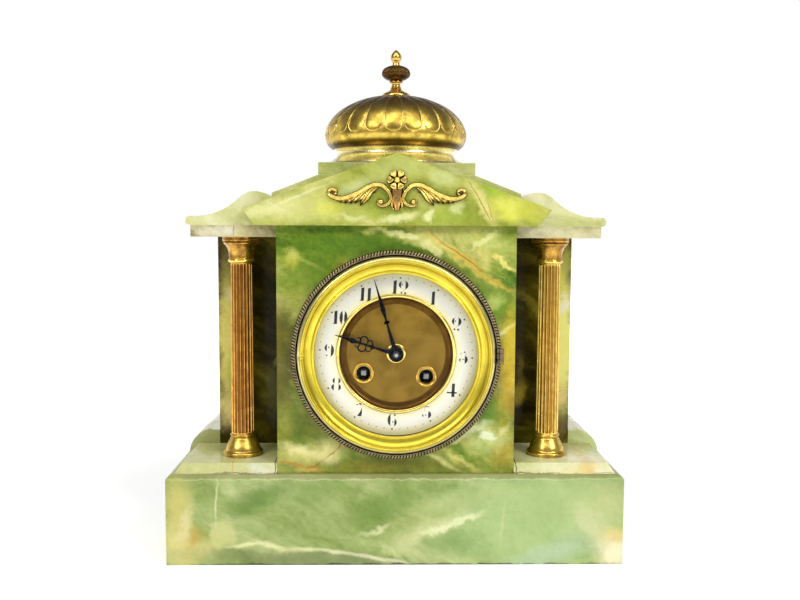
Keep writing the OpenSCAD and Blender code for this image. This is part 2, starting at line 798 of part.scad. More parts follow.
// Fixed ring with rope edge, sleeve, dial ledge and two straps
module bezel_seat() {
    ledge_w = y_block - y_pan;
    rope_c = [seat_r - rope_r, rope_w - rope_r];
    color(bronze) {
        difference() {
            union() {
                on_dial(y_block) rotate_extrude() {
                    translate([aperture_r - 2.4, 0]) square([seat_r - aperture_r + 2.4, seat_t]);
                    translate([seat_r - 2 * rope_r, 0]) square([2 * rope_r, rope_w - rope_r]);
                    translate(rope_c) circle(r = rope_r);
                    translate([aperture_r - sleeve_t - 0.6, ledge_w - pan_t]) square([sleeve_t,
                        pan_t - ledge_w + seat_t]);
                    translate([strap_r - 3, ledge_w - pan_t]) square([aperture_r - strap_r + 2, pan_t]);
                }
                translate([0, y_block, dial_z]) both_halves() hinge_leaf(hinge_x, hinge_w,
                    knuckle_h / 2 + knuckle_gap, knuckle_h / 2 + end_knuckle_h, seat_r - 2 * rope_r + 1,
                    seat_t, hinge_w);
            }
            translate([0, y_block, dial_z]) pin_hole(hinge_x, hinge_w);
        }
        on_dial(0) for (k = [0, 180]) rotate([0, 0, strap_deg + k]) difference() {
            union() {
                translate([strap_r - strap_t / 2, -strap_w / 2, -y_rear])
                    cube([strap_t, strap_w, y_rear - y_pan - pan_t]);
                translate([strap_r - strap_block / 2, -strap_w / 2, -y_rear])
                    cube([strap_block, strap_w, strap_block]);
            }
            translate([strap_r, 0, -y_rear - 1]) cylinder(h = strap_block + 2, r = screw_r + run_gap);
        }
    }
}

module both_halves() {
    children();
    mirror([0, 0, 1]) children();
}

// Polished door ring that turns on the pin at three o'clock
module bezel_door() {
    crest_r = door_r - 4;
    outer = bezier([door_r, door_back_w + 3.6], [door_r - 0.2, crest_w - 2.5], [door_r - 2, crest_w],
        [crest_r, crest_w], 8);
    hollow = bezier([crest_r, crest_w], [crest_r - 1.6, crest_w - 0.2], [sight_r + 4, rebate_w + 2],
        [sight_r + 2, rebate_w + 1.4], 8);
    bead = bezier([sight_r + 2, rebate_w + 1.4], [sight_r + 1.6, rebate_w + 3], [sight_r + 0.2,
        rebate_w + 2.6], [sight_r, rebate_w + 1], 6);
    color(gilt) difference() {
        union() {
            on_dial(y_block) rotate_extrude() polygon(concat([[door_r, door_back_w]], outer, hollow, bead,
                [[sight_r, rebate_w], [rebate_r, rebate_w], [rebate_r, door_back_w]]));
            translate([0, y_block, dial_z]) hinge_leaf(hinge_x, hinge_w, -knuckle_h / 2, knuckle_h / 2,
                door_r - 2.6, rope_w + pass_gap, hinge_w + 1);
        }
        translate([0, y_block, dial_z]) pin_hole(hinge_x, hinge_w);
    }
}

// Domed glass held in the door's rebate
module bezel_glass() {
    front_w = rebate_w - 0.05;
    rim_r = sight_r - 0.1;
    front = [for (i = [0 : 12]) let (r = rim_r * (12 - i) / 12) [r,
        front_w + glass_rise * (1 - pow(r / rim_r, 2))]];
    back = [for (i = [0 : 12]) let (r = rim_r * i / 12) [r,
        front_w - glass_t + glass_rise * (1 - pow(r / rim_r, 2))]];
    color([0.9, 0.95, 0.95, 0.3]) on_dial(y_block) rotate_extrude()
        polygon(concat([[glass_r, front_w]], front, back, [[glass_r, front_w - glass_t]]));
}

rear_hinge_x = rear_door_r + 3;
rear_hinge_w = 5;
rear_ring_t = 2;
rear_door_lap = 5;
rear_leaf_lap = 4;
rear_lip_t = 1.5;
rear_lip_h = 6;
knob_l = 5;
knob_in = 12;
screw_head_r = 2.6;
screw_head_h = 1.6;

// Pins of the bezel door's hinge and of the rear door's hinge
module hinge_pins() {
    pin_l = knuckle_h + 2 * end_knuckle_h;
    color(steel) {
        translate([hinge_x, y_block - hinge_w, dial_z - pin_l / 2]) cylinder(h = pin_l, r = pin_r);
        translate([rear_hinge_x, y_back + rear_hinge_w, dial_z - pin_l / 2]) cylinder(h = pin_l,
            r = pin_r);
    }
}

module chapter_ring() {
    color(enamel) on_dial(y_enamel + enamel_t) rotate_extrude()
        translate([chapter_r, 0]) square([dial_r - chapter_r, enamel_t]);
}

// Brass dial centre with its rim, grommets and feet
module dial_centre() {
    rim_r = chapter_r - 0.1;
    grommet_r = winding_hole_r + 2.2;
    centre_w = pan_t;
    color(bronze) {
        difference() {
            union() {
                on_dial(y_pan) rotate_extrude() polygon(concat([[0, 0], [dial_r, 0], [dial_r, 2.3],
                    [rim_r, 2.3],
                    [rim_r, 2.4 + enamel_t + 0.4]], bezier([rim_r - rim_t * 0.6, 2.4 + enamel_t + 0.6],
                    [rim_r - rim_t, 2.4 + enamel_t], [rim_r - rim_t, centre_w + 1],
                        [rim_r - rim_t - 1, centre_w], 6),
                    [[0, centre_w]]));
                in_movement() for (p = [p_going, p_strike]) bar(p, y_pan - centre_w - 1, y_pan,
                    grommet_r);
                in_movement() bar(p_centre, y_pan - centre_w - 0.8, y_pan, hand_boss_r + 0.7);
                in_movement() for (p = dial_foot_places) bar(p, y_pan - 0.5, y_plate, 1.6);
            }
            in_movement() for (p = [p_going, p_strike]) bar(p, y_pan - 10, y_pan + 1, winding_hole_r);
            in_movement() bar(p_centre, y_pan - 10, y_pan + 1, hour_pipe_r + 0.4);
        }
    }
}

// Half outline of a hand: share of its length, half width
minute_outline = [[0, 1.5], [0.06, 1.5], [0.2, 1], [0.36, 0.8], [0.4, 1.7], [0.44, 0.8], [0.5, 0.9], [0.63,
    2.4], [0.8, 1.1], [1, 0.15]];
hour_outline = [[0, 1.5], [0.1, 1.5], [0.3, 1.1], [0.42, 1], [0.5, 2.2], [0.6, 1.2], [0.7, 2.6], [0.84, 1.2],
    [1, 0.2]];

module hand(l, outline) {
    polygon(concat([for (e = outline) [e[1], e[0] * l]],
        [for (i = [len(outline) - 1 : -1 : 0]) [-outline[i][1], outline[i][0] * l]]));
}

module minute_hand() {
    color(blued) in_movement() translate([0, 0, -y_minute]) rotate([0, 0,
        -minute_deg]) linear_extrude(hand_t) difference() {
        union() {
            hand(minute_l, minute_outline);
            circle(r = hand_boss_r * 0.6);
        }
        circle(r = cannon_r);
    }
}

module hour_hand() {
    color(blued) in_movement() translate([0, 0, -y_hour]) rotate([0, 0,
        -hour_deg]) linear_extrude(hand_t) difference() {
        union() {
            hand(hour_l, hour_outline);
            circle(r = hand_boss_r);
            for (s = [-1, 1]) translate([s * 2.4, 0.54 * hour_l]) circle(r = 2.8);
        }
        circle(r = hour_pipe_r);
        for (s = [-1, 1]) translate([s * 2.8, 0.54 * hour_l]) circle(r = 1.5);
    }
}

// Domed washer and pin that hold the minute hand
module hand_collet() {
    y0 = y_minute - hand_t;
    color(gilt) in_movement() difference() {
        union() {
            bar(p_centre, y0 - 0.8, y0, 3.4);
            bar(p_centre, y0 - 1.6, y0 - 0.8 + eps, 2.6);
        }
        bar(p_centre, y0 - 3, y0 + 1, arbor_r * 0.8 + run_gap);
    }
}

// Holes that both plates have, and the room for the straps where the plates reach them
module plate_holes(y0, y1) {
    for (k = [0, 180]) rotate([0, 0, dial_tilt + strap_deg + k])
        translate([strap_r - strap_block / 2 - strap_gap, -strap_w / 2 - strap_gap, -y1])
            cube([strap_block + plate_r, strap_w + 2 * strap_gap, y1 - y0]);
    for (p = pillar_places) bar(p, y0, y1, tenon_r + run_gap);
    for (p = [p_second, p_third, p_escape, p_pin, p_fly, p_hammer, p_anchor]) bar(p, y0, y1,
        pivot_r + run_gap);
}

module front_plate() {
    color(gilt) in_movement() {
        difference() {
            bar(p_centre, y_plate, y_inside, plate_r);
            plate_holes(y_plate - 1, y_inside + 1);
            bar(p_centre, y_plate - 1, y_inside + 1, arbor_r + run_gap);
            for (p = [p_going, p_strike]) bar(p, y_plate - 1, y_inside + 1, winding_r + run_gap);
        }
        bar(p_minute, y_plate - 6.4, y_plate, stud_r);
    }
}

module back_plate() {
    color(gilt) in_movement() difference() {
        bar(p_centre, y_backplate, y_behind, plate_r);
        plate_holes(y_backplate - 1, y_behind + 1);
        bar(p_centre, y_backplate - 1, y_behind + 1, pivot_r + run_gap);
        for (p = [p_anchor, p_hammer]) bar(p, y_backplate - 1, y_behind + 1, rear_pivot_r + run_gap);
        for (p = [p_going, p_strike]) bar(p, y_backplate - 1, y_behind + 1, winding_pivot_r + run_gap);
    }
}

// Pillars with their nuts behind the back plate
module plate_pillars() {
    color(gilt) in_movement() for (p = pillar_places) {
        bar(p, y_inside, y_backplate, pillar_r);
        bar(p, y_plate, y_behind + 2.4, tenon_r);
        translate([p[0], p[1], -y_behind - 2]) cylinder(h = 2, r = pillar_r, $fn = 6);
    }
}

// Spring barrel: drum with two ends, and the great wheel behind it
module barrel(p, phase) {
    y0 = y_inside + q_barrel;
    y1 = y_inside + q_great;
    end_t = 1.2;
    difference() {
        bar(p, y0, y1, barrel_r);
        bar(p, y0 + end_t, y1 - end_t, barrel_r - end_t);
        bar(p, y0 - 1, y1 + 1, winding_r + run_gap);
    }
    tooth_ring(p, y1, y1 + great_t, n_great, m_great, phase, wheel_tooth, barrel_r * 0.8);
}

// Wound strip that fills the barrel
module mainspring(p) {
    turns = 8;
    steps = 20;
    strip = 0.5;
    r_in = 4.2;
    r_out = barrel_r - 2.2;
    function coil(i) = r_in + (r_out - r_in) * i / (turns * steps);
    translate([p[0], p[1], -y_inside - q_great + 2]) linear_extrude(barrel_l - 4) polygon(concat(
        [for (i = [0 : turns * steps]) turn(coil(i), i * 360 / steps)],
        [for (i = [turns * steps : -1 : 0]) turn(coil(i) + strip, i * 360 / steps)]));
}

// Winding arbor with its square and ratchet
module winding_arbor(p) {
    ratchet_r = 7.5;
    notches = 18;
    ratchet = [for (k = [0 : notches - 1]) for (e = [[ratchet_r, 0], [ratchet_r * 0.84, 0.04]])
        turn(e[0], (k + e[1]) * 360 / notches)];
    y_end = y_pan - pan_t - 0.8;
    bar(p, y_plate - 2.6, y_backplate - shake, winding_r);
    bar(p, y_backplate - shake - eps, y_behind - shake, winding_pivot_r);
    translate([p[0] - square_s / 2, p[1] - square_s / 2, 2 - y_plate]) cube([square_s, square_s,
        y_plate - y_end - 2]);
    translate([p[0], p[1], 0.9 - y_plate]) linear_extrude(1.3) difference() {
        polygon(ratchet);
        circle(r = winding_r + run_gap);
    }
}

module going_barrel() {
    color(gilt) in_movement() barrel(p_going, ph_great);
}

module strike_barrel() {
    color(gilt) in_movement() barrel(p_strike, ph_strike);
}

module going_mainspring() {
    color(blued) in_movement() mainspring(p_going);
}

module strike_mainspring() {
    color(blued) in_movement() mainspring(p_strike);
}

module going_arbor() {
    color(steel) in_movement() winding_arbor(p_going);
}

module strike_arbor() {
    color(steel) in_movement() winding_arbor(p_strike);
}

// Bore of a flat-sided wheel that clears a round arbor
function bore_for(r) = (r + 0.02) / cos(15);

// Centre arbor with the wheel that drives the third arbor
module centre_arbor() {
    y_w = y_inside + q_centre;
    color(steel) in_movement() {
        bar(p_centre, y_plate - 0.4, y_backplate - shake, arbor_r);
        bar(p_centre, y_minute - 3.4, y_plate - 0.4 + eps, arbor_r * 0.8);
        bar(p_centre, y_backplate - shake - eps, y_behind - shake, pivot_r);
        tooth_ring(p_centre, y_inside + q_second - 1, y_inside + q_second + 3, n_centre_pinion,
            m_great, ph_centre,
            pinion_leaf, bore_for(arbor_r));
    }
    color(gilt) in_movement() wheel(p_centre, y_w, y_w + wheel_t, n_centre, m_centre, ph_centre,
        bore_for(arbor_r));
}

// Cannon pinion: friction-held pipe that carries the minute hand
module cannon_pinion() {
    color(steel) in_movement() {
        difference() {
            bar(p_centre, y_minute - hand_t, y_plate - 0.6, cannon_r);
            bar(p_centre, y_minute - 3, y_plate, arbor_r * 0.8 + run_gap);
        }
        tooth_ring(p_centre, y_plate - 2.5, y_plate - 0.9, n_cannon, m_cannon, 0, pinion_leaf,
            bore_for(cannon_r));
    }
}

// Minute wheel and its pinion on the stud of the front plate
module minute_wheel() {
    color(gilt) in_movement() {
        wheel(p_minute, y_plate - 2.4, y_plate - 1, n_minute, m_cannon, ph_minute,
            bore_for(stud_r + run_gap));
        tooth_ring(p_minute, y_plate - 5.6, y_plate - 2.4, n_minute_pinion, m_hour, ph_minute,
            pinion_leaf, bore_for(stud_r + run_gap));
    }
}

// Hour wheel with the pipe that carries the hour hand
module hour_wheel() {
    color(gilt) in_movement() {
        difference() {
            bar(p_centre, y_hour - hand_t, y_plate - 3.2, hour_pipe_r);
            bar(p_centre, y_hour - 2, y_plate, cannon_r + run_gap);
        }
        tooth_ring(p_centre, y_plate - 5, y_plate - 3.6, n_hour, m_hour, ph_hour, wheel_tooth,
            bore_for(hour_pipe_r));
    }
}

module second_wheel() {
    y_w = y_inside + q_second;
    color(gilt) in_movement() {
        arbor(p_second, arbor_r);
        wheel(p_second, y_w, y_w + wheel_t, n_second, m_great, ph_second, bore_for(arbor_r));
        tooth_ring(p_second, y_inside + q_great - 0.6, y_inside + q_great + great_t + 0.6,
            n_second_pinion, m_great,
            ph_second, pinion_leaf, bore_for(arbor_r));
    }
}

module third_wheel() {
    y_w = y_inside + q_third;
    color(gilt) in_movement() {
        arbor(p_third, third_arbor_r);
        wheel(p_third, y_w, y_w + wheel_t, n_third, m_third, ph_third, bore_for(third_arbor_r));
        tooth_ring(p_third, y_inside + q_centre - 0.6, y_inside + q_centre + wheel_t + 0.6,
            n_third_pinion, m_centre, ph_third, pinion_leaf, bore_for(third_arbor_r));
    }
}

module escape_wheel() {
    y_w = y_inside + q_escape;
    saw = [for (k = [0 : n_escape - 1]) for (e = [[escape_r, 0], [escape_r * 0.84, 0.15],
        [escape_r * 0.84, 0.6]])
        turn(e[0], (k + e[1]) * 360 / n_escape)];
    color(gilt) in_movement() {
        arbor(p_escape, escape_arbor_r);
        translate([p_escape[0], p_escape[1], -y_w - 1]) linear_extrude(1) difference() {
            polygon(saw);
            circle(r = bore_for(escape_arbor_r), $fn = 12);
        }
        tooth_ring(p_escape, y_inside + q_third - 0.6, y_inside + q_third + wheel_t + 0.6,
            n_escape_pinion, m_third, ph_escape, pinion_leaf, bore_for(escape_arbor_r));
    }
}

crutch_l = 26;
crutch_t = 1.2;
tine_t = 1;
tine_h = 5;
tine_l = 7;
rod_half = 1;
anchor_arbor_r = 1;

// Anchor on its arbor, with the crutch behind the back plate
module anchor() {
    y_w = y_inside + q_escape;
    span = 52;
    in_r = escape_r + 1;
    out_r = in_r + 1.6;
    fork = rod_half + 0.3;
    color(steel) in_movement() {
        bar(p_anchor, y_inside + shake, y_backplate - shake, anchor_arbor_r);
        bar(p_anchor, y_plate + shake, y_inside + shake + eps, pivot_r);
        bar(p_anchor, y_backplate - shake - eps, y_behind + 2.6, rear_pivot_r);
        translate([0, 0, -y_w - 1.4]) linear_extrude(1.8) difference() {
            union() {
                translate(p_escape) intersection() {
                    difference() {
                        circle(r = out_r);
                        circle(r = in_r);
                    }
                    polygon([[0, 0], turn(2 * out_r, 90 - span), turn(3 * out_r, 90), turn(2 * out_r,
                        90 + span)]);
                }
                translate(p_anchor) circle(r = 2 * anchor_arbor_r);
            }
            translate(p_anchor) circle(r = anchor_arbor_r - eps);
        }
        translate([p_anchor[0], p_anchor[1], -y_behind - 2 * crutch_t]) rotate([0, 0, dial_tilt]) {
            translate([-crutch_t, -crutch_l, 0]) cube([2 * crutch_t, crutch_l, crutch_t]);
            for (s = [-1, 1]) {
                translate([s * (fork + tine_t / 2) - tine_t / 2, -crutch_l - tine_h + tine_t, -tine_l])
                    cube([tine_t, tine_h, tine_l + crutch_t]);
            }
            translate([-fork - tine_t, -crutch_l, 0]) cube([2 * (fork + tine_t), tine_t, crutch_t]);
        }
    }
}

cock_w = 19;
cock_leg_w = 3;
cock_h = 6;
cock_drop = 5;
cock_d = 11;
cock_t = 2;
cock_pin_r = 1;
cock_pin_l = 6.3;

// Bridge on the back plate with the pin that the pendulum hangs on
module suspension_cock() {
    color(gilt) in_movement() translate([p_anchor[0], p_anchor[1], -y_behind]) {
        for (s = [0, 1]) mirror([s, 0, 0]) translate([cock_w / 2 - cock_leg_w, -cock_drop, -cock_d])
            cube([cock_leg_w, cock_h, cock_d]);
        translate([-cock_w / 2, -cock_drop, -cock_d - cock_t]) cube([cock_w, cock_h, cock_t]);
        translate([0, 0, -cock_d - cock_t / 4]) cylinder(h = cock_pin_l, r = cock_pin_r);
    }
}

// Pendulum: eye, rod, bob and rating nut, hanging plumb
module pendulum() {
    spot = turn(norm(p_anchor), 90 - dial_tilt);
    hollow = 30;
    lens = arc([0, -hollow], norm([hollow, bob_r]), 90, 90 - atan2(bob_r, hollow), 8);
    y_rod = y_behind + 6;
    eye_t = 2.2;
    eye_r = 2.8;
    rod_t = 2;
    nut_h = 3;
    nut_gap = 2;
    color(gilt) translate([spot[0], y_rod + eye_t / 2, dial_z + spot[1]]) {
        rotate([90, 0, 0]) difference() {
            cylinder(h = eye_t, r = eye_r);
            translate([0, 0, -1]) cylinder(h = eye_t + 2, r = cock_pin_r + run_gap);
        }
        slab(-rod_half, rod_half, -rod_t, 0, -pendulum_l - bob_r - 2 * nut_h, -eye_r * 0.7);
        translate([0, -rod_t / 2, -pendulum_l]) for (s = [-90, 90]) rotate([s, 0, 0])
            rotate_extrude() polygon([for (p = concat(lens, [[0, 0]])) [p[0], max(0, p[1])]]);
        translate([0, -rod_t / 2, -pendulum_l - bob_r - nut_gap - nut_h]) cylinder(h = nut_h, r = nut_h);
    }
}

// Pin wheel of the strike, with the pins that lift the hammer
module strike_pin_wheel() {
    y_w = y_inside + q_second;
    color(gilt) in_movement() {
        arbor(p_pin, arbor_r);
        wheel(p_pin, y_w, y_w + wheel_t, n_pin, m_pin, 0, bore_for(arbor_r));
        tooth_ring(p_pin, y_inside + q_great - 0.6, y_inside + q_great + great_t + 0.6, n_pin_pinion,
            m_great, 0, pinion_leaf,
            bore_for(arbor_r));
        for (k = [0 : 7]) bar(p_pin + turn(n_pin * m_pin / 2 - 1.5, k * 45), y_w - 2, y_w, 0.6);
    }
}

fly_arbor_r = 0.8;

// Air brake of the strike
module strike_fly() {
    vane_w = 14;
    vane_l = 11;
    vane_t = 0.5;
    q_vane = 9;
    color(gilt) in_movement() {
        arbor(p_fly, fly_arbor_r);
        translate([p_fly[0] - vane_w / 2, p_fly[1] - fly_arbor_r - 0.1, -y_inside - q_vane - vane_l])
            cube([vane_w, vane_t, vane_l]);
        tooth_ring(p_fly, y_inside + q_second - 0.6, y_inside + q_second + wheel_t + 0.6,
            n_fly_pinion, m_pin, ph_fly, pinion_leaf, bore_for(fly_arbor_r));
    }
}

y_bell = y_behind + 19.5;
bell_h = 25.5;
bell_wall = 1.5;
bell_screw_r = 1.9;
bell_screw_gap = 0.1;
p_bell = [0, -2];

// Hammer on its arbor, resting just off the bell
module hammer() {
    head_r = 3.5;
    head_l = 8;
    off = 1.5;
    arm_w = 1.6;
    arm_t = 2;
    tail_l = 5.6;
    tail_w = 1.4;
    staff_r = 1.2;
    p_head = p_bell + turn(bell_r + off + head_r, 155);
    l = norm(p_head - p_hammer);
    y_head = y_bell + 1;
    color(steel) in_movement() {
        bar(p_hammer, y_inside + shake, y_backplate - shake, staff_r);
        bar(p_hammer, y_plate + shake, y_inside + shake + eps, pivot_r);
        bar(p_hammer, y_backplate - shake - eps, y_head + 5, rear_pivot_r);
        bar(p_hammer, y_behind + shake, y_head + head_l - arm_t, arm_w);
        translate([p_hammer[0], p_hammer[1], -y_head - head_l / 2 - arm_t / 2])
            rotate([0, 0, aim(p_hammer, p_head)]) translate([0, -arm_w / 2, 0]) cube([l, arm_w, arm_t]);
        bar(p_head, y_head, y_head + head_l, head_r);
        translate([p_hammer[0], p_hammer[1], -y_inside - q_second + 0.4])
            rotate([0, 0, aim(p_hammer, p_pin)]) translate([0, -tail_w / 2, 0])
                cube([tail_l, tail_w, tail_w]);
    }
}

module bell() {
    hole_r = bell_screw_r + bell_screw_gap;
    round_r = (bell_r * bell_r + bell_h * bell_h) / (2 * bell_h);
    low = asin((round_r - bell_h) / round_r);
    outer = arc([0, bell_h - round_r], round_r, low, 88, 14);
    inner = arc([0, bell_h - round_r], round_r - bell_wall, 88, low, 14);
    color(gilt) on_dial(y_bell) rotate([0, 0, -dial_tilt]) translate([p_bell[0], p_bell[1],
        0]) rotate([180, 0, 0]) rotate_extrude()
        polygon([for (p = concat(outer, inner)) [max(p[0], hole_r), p[1]]]);
}

// Post and arm behind the bell, with the bell's screw
module bell_stand() {
    post_r = 3;
    arm_t = 2.4;
    nut_r = 4;
    nut_t = 2.1;
    crown_gap = 0.4;
    reach_x = bell_r + 2 * post_r;
    y_arm = y_bell + bell_h;
    y_nut = y_arm - bell_wall - crown_gap;
    color(steel) in_movement() {
        bar(p_bell + [reach_x, 0], y_behind, y_arm + arm_t, post_r);
        translate([p_bell[0] - nut_r, p_bell[1] - nut_r, -y_arm - arm_t])
            cube([reach_x + nut_r, 2 * nut_r, arm_t]);
        bar(p_bell, y_nut - nut_t, y_arm + 1.5 * arm_t, bell_screw_r);
        bar(p_bell, y_nut - nut_t, y_nut, nut_r);
    }
}

// Fixed ring round the rear opening
module rear_ring() {
    hole_r = rear_door_r - rear_door_lap;
    color(gilt) difference() {
        union() {
            on_dial(y_back) rotate_extrude() {
                translate([hole_r, -rear_ring_t]) square([rear_ring_r - hole_r, rear_ring_t]);
                translate([hole_r, -eps]) square([rear_lip_t, rear_lip_h]);
            }
            translate([0, y_back, dial_z]) both_halves() hinge_leaf(rear_hinge_x, -rear_hinge_w,
                knuckle_h / 2 + knuckle_gap, knuckle_h / 2 + end_knuckle_h, rear_hinge_x - 1, -rear_hinge_w,
                -rear_ring_t + eps);
        }
        translate([0, y_back, dial_z]) pin_hole(rear_hinge_x, -rear_hinge_w);
        on_dial(0) for (k = [0, 180]) rotate([0, 0, strap_deg + k])
            translate([strap_r, 0, -y_back - rear_lip_h])
                cylinder(h = 2 * rear_lip_h, r = screw_r + run_gap);
    }
}

// Round rear door with its knob
module rear_door() {
    gap = rear_ring_t + pass_gap;
    door_t = rear_door_t;
    color(gilt) difference() {
        union() {
            on_dial(y_back + gap + door_t) cylinder(h = door_t, r = rear_door_r);
            on_dial(y_back + gap + door_t + knob_l) translate([knob_in - rear_door_r, 0, 0])
                cylinder(h = knob_l + door_t / 2, r = knob_r);
            translate([0, y_back, dial_z]) hinge_leaf(rear_hinge_x, -rear_hinge_w, -knuckle_h / 2,
                knuckle_h / 2, rear_door_r - rear_leaf_lap, -rear_hinge_w - 1, -rear_ring_t - pass_gap);
        }
        translate([0, y_back, dial_z]) pin_hole(rear_hinge_x, -rear_hinge_w);
    }
}

// Screws that draw the rear ring towards the straps
module strap_screws() {
    color(steel) on_dial(0) for (k = [0, 180]) rotate([0, 0, strap_deg + k]) translate([strap_r, 0, 0]) {
        translate([0, 0, -y_back - rear_ring_t - screw_head_h]) cylinder(h = screw_head_h, r = screw_head_r);
        translate([0, 0, -y_back - rear_ring_t - eps]) cylinder(h = y_back + rear_ring_t - y_rear +
            5, r = screw_r);
    }
}

base_slabs();
base_core();
plinths();
foot_blocks();
dial_panel();
side_slabs();
wing_panels();
rear_panel();
lintels();
ears();
pediment();
roof_block();
dome_plinth();
dome_collar();
dome();
finial();
tie_rods();
pediment_mount();
left_column_foot();
left_column_shaft();
left_column_capital();
right_column_foot();
right_column_shaft();
right_column_capital();
bezel_seat();
bezel_door();
bezel_glass();
hinge_pins();
chapter_ring();
dial_centre();
minute_hand();
hour_hand();
hand_collet();
front_plate();
back_plate();
plate_pillars();
going_barrel();
going_mainspring();
going_arbor();
strike_barrel();
strike_mainspring();
strike_arbor();
centre_arbor();
cannon_pinion();
minute_wheel();
hour_wheel();
second_wheel();
third_wheel();
escape_wheel();
anchor();
suspension_cock();
pendulum();
strike_pin_wheel();
strike_fly();
hammer();
bell();
bell_stand();
rear_ring();
rear_door();
strap_screws();
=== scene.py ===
import math

import bmesh
import bpy
import numpy as np
from mathutils import Matrix, Vector


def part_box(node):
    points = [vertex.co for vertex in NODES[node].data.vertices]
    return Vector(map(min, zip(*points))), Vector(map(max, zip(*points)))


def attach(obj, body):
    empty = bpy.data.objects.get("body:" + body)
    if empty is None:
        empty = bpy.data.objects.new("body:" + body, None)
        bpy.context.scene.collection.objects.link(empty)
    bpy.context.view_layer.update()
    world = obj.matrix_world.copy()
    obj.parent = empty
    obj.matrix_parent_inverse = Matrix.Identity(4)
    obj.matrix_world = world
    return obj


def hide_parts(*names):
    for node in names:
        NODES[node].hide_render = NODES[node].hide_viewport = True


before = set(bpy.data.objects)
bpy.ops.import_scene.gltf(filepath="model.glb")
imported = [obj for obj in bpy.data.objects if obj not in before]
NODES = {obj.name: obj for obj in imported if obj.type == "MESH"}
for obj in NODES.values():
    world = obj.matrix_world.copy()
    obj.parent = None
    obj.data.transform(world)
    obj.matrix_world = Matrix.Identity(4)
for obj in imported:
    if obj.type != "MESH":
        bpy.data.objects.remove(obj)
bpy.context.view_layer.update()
MM = 0.001

# Places of the object's main parts, in millimetres
DIAL_Z = 148.0
Y_PANEL = -64.4
Y_ENAMEL = -61.6
Y_PEDIMENT = -70.0
Y_WING = -4.5
Y_MINUTE_HAND = -66.0
Y_HOUR_HAND = -64.2
Z_PLINTH = 71.0
Z_LINTEL = 229.0
Z_LINTEL_TOP = 237.0
Z_COLLAR = 280.7
Z_FINIAL = 333.03
# Bore for the tie rods
ROD_R = 2.8
# Thickness of the hands, the turn of the whole dial, and where the hands point, clockwise from its twelve
HAND_THICK = 0.6
DIAL_TILT = math.radians(3.0)
MINUTE_AT = math.radians(340.6)
HOUR_AT = math.radians(284.7)
# A column's place, its shaft's radius at the foot and at the capital, the shaft's length and flutes
COLUMN = (110.775, -37.0)
SHAFT_R = (8.15, 7.65)
SHAFT_L = 123.0
FLUTES = 18
FLUTE_HALF = 0.4
FLUTE_DEPTH = 0.85
FLUTE_END = 1.5
# Rope edge: radius of its centre line and how far that stands out from the panel
ROPE_R = 70.7
ROPE_OUT = 4.4
# Hinge of the bezel at three o'clock: its place across and how far it stands out from the panel
HINGE_X = 72.2
HINGE_OUT = 7.9


def srgb(colour, shade=1.0):
    """A colour given as 0-255 display values and darkened by shade, as linear light."""
    def lin(v):
        v /= 255.0
        return v / 12.92 if v <= 0.04045 else ((v + 0.055) / 1.055) ** 2.4
    return (*(lin(int(c * shade)) for c in colour), 1.0)


# Node trees

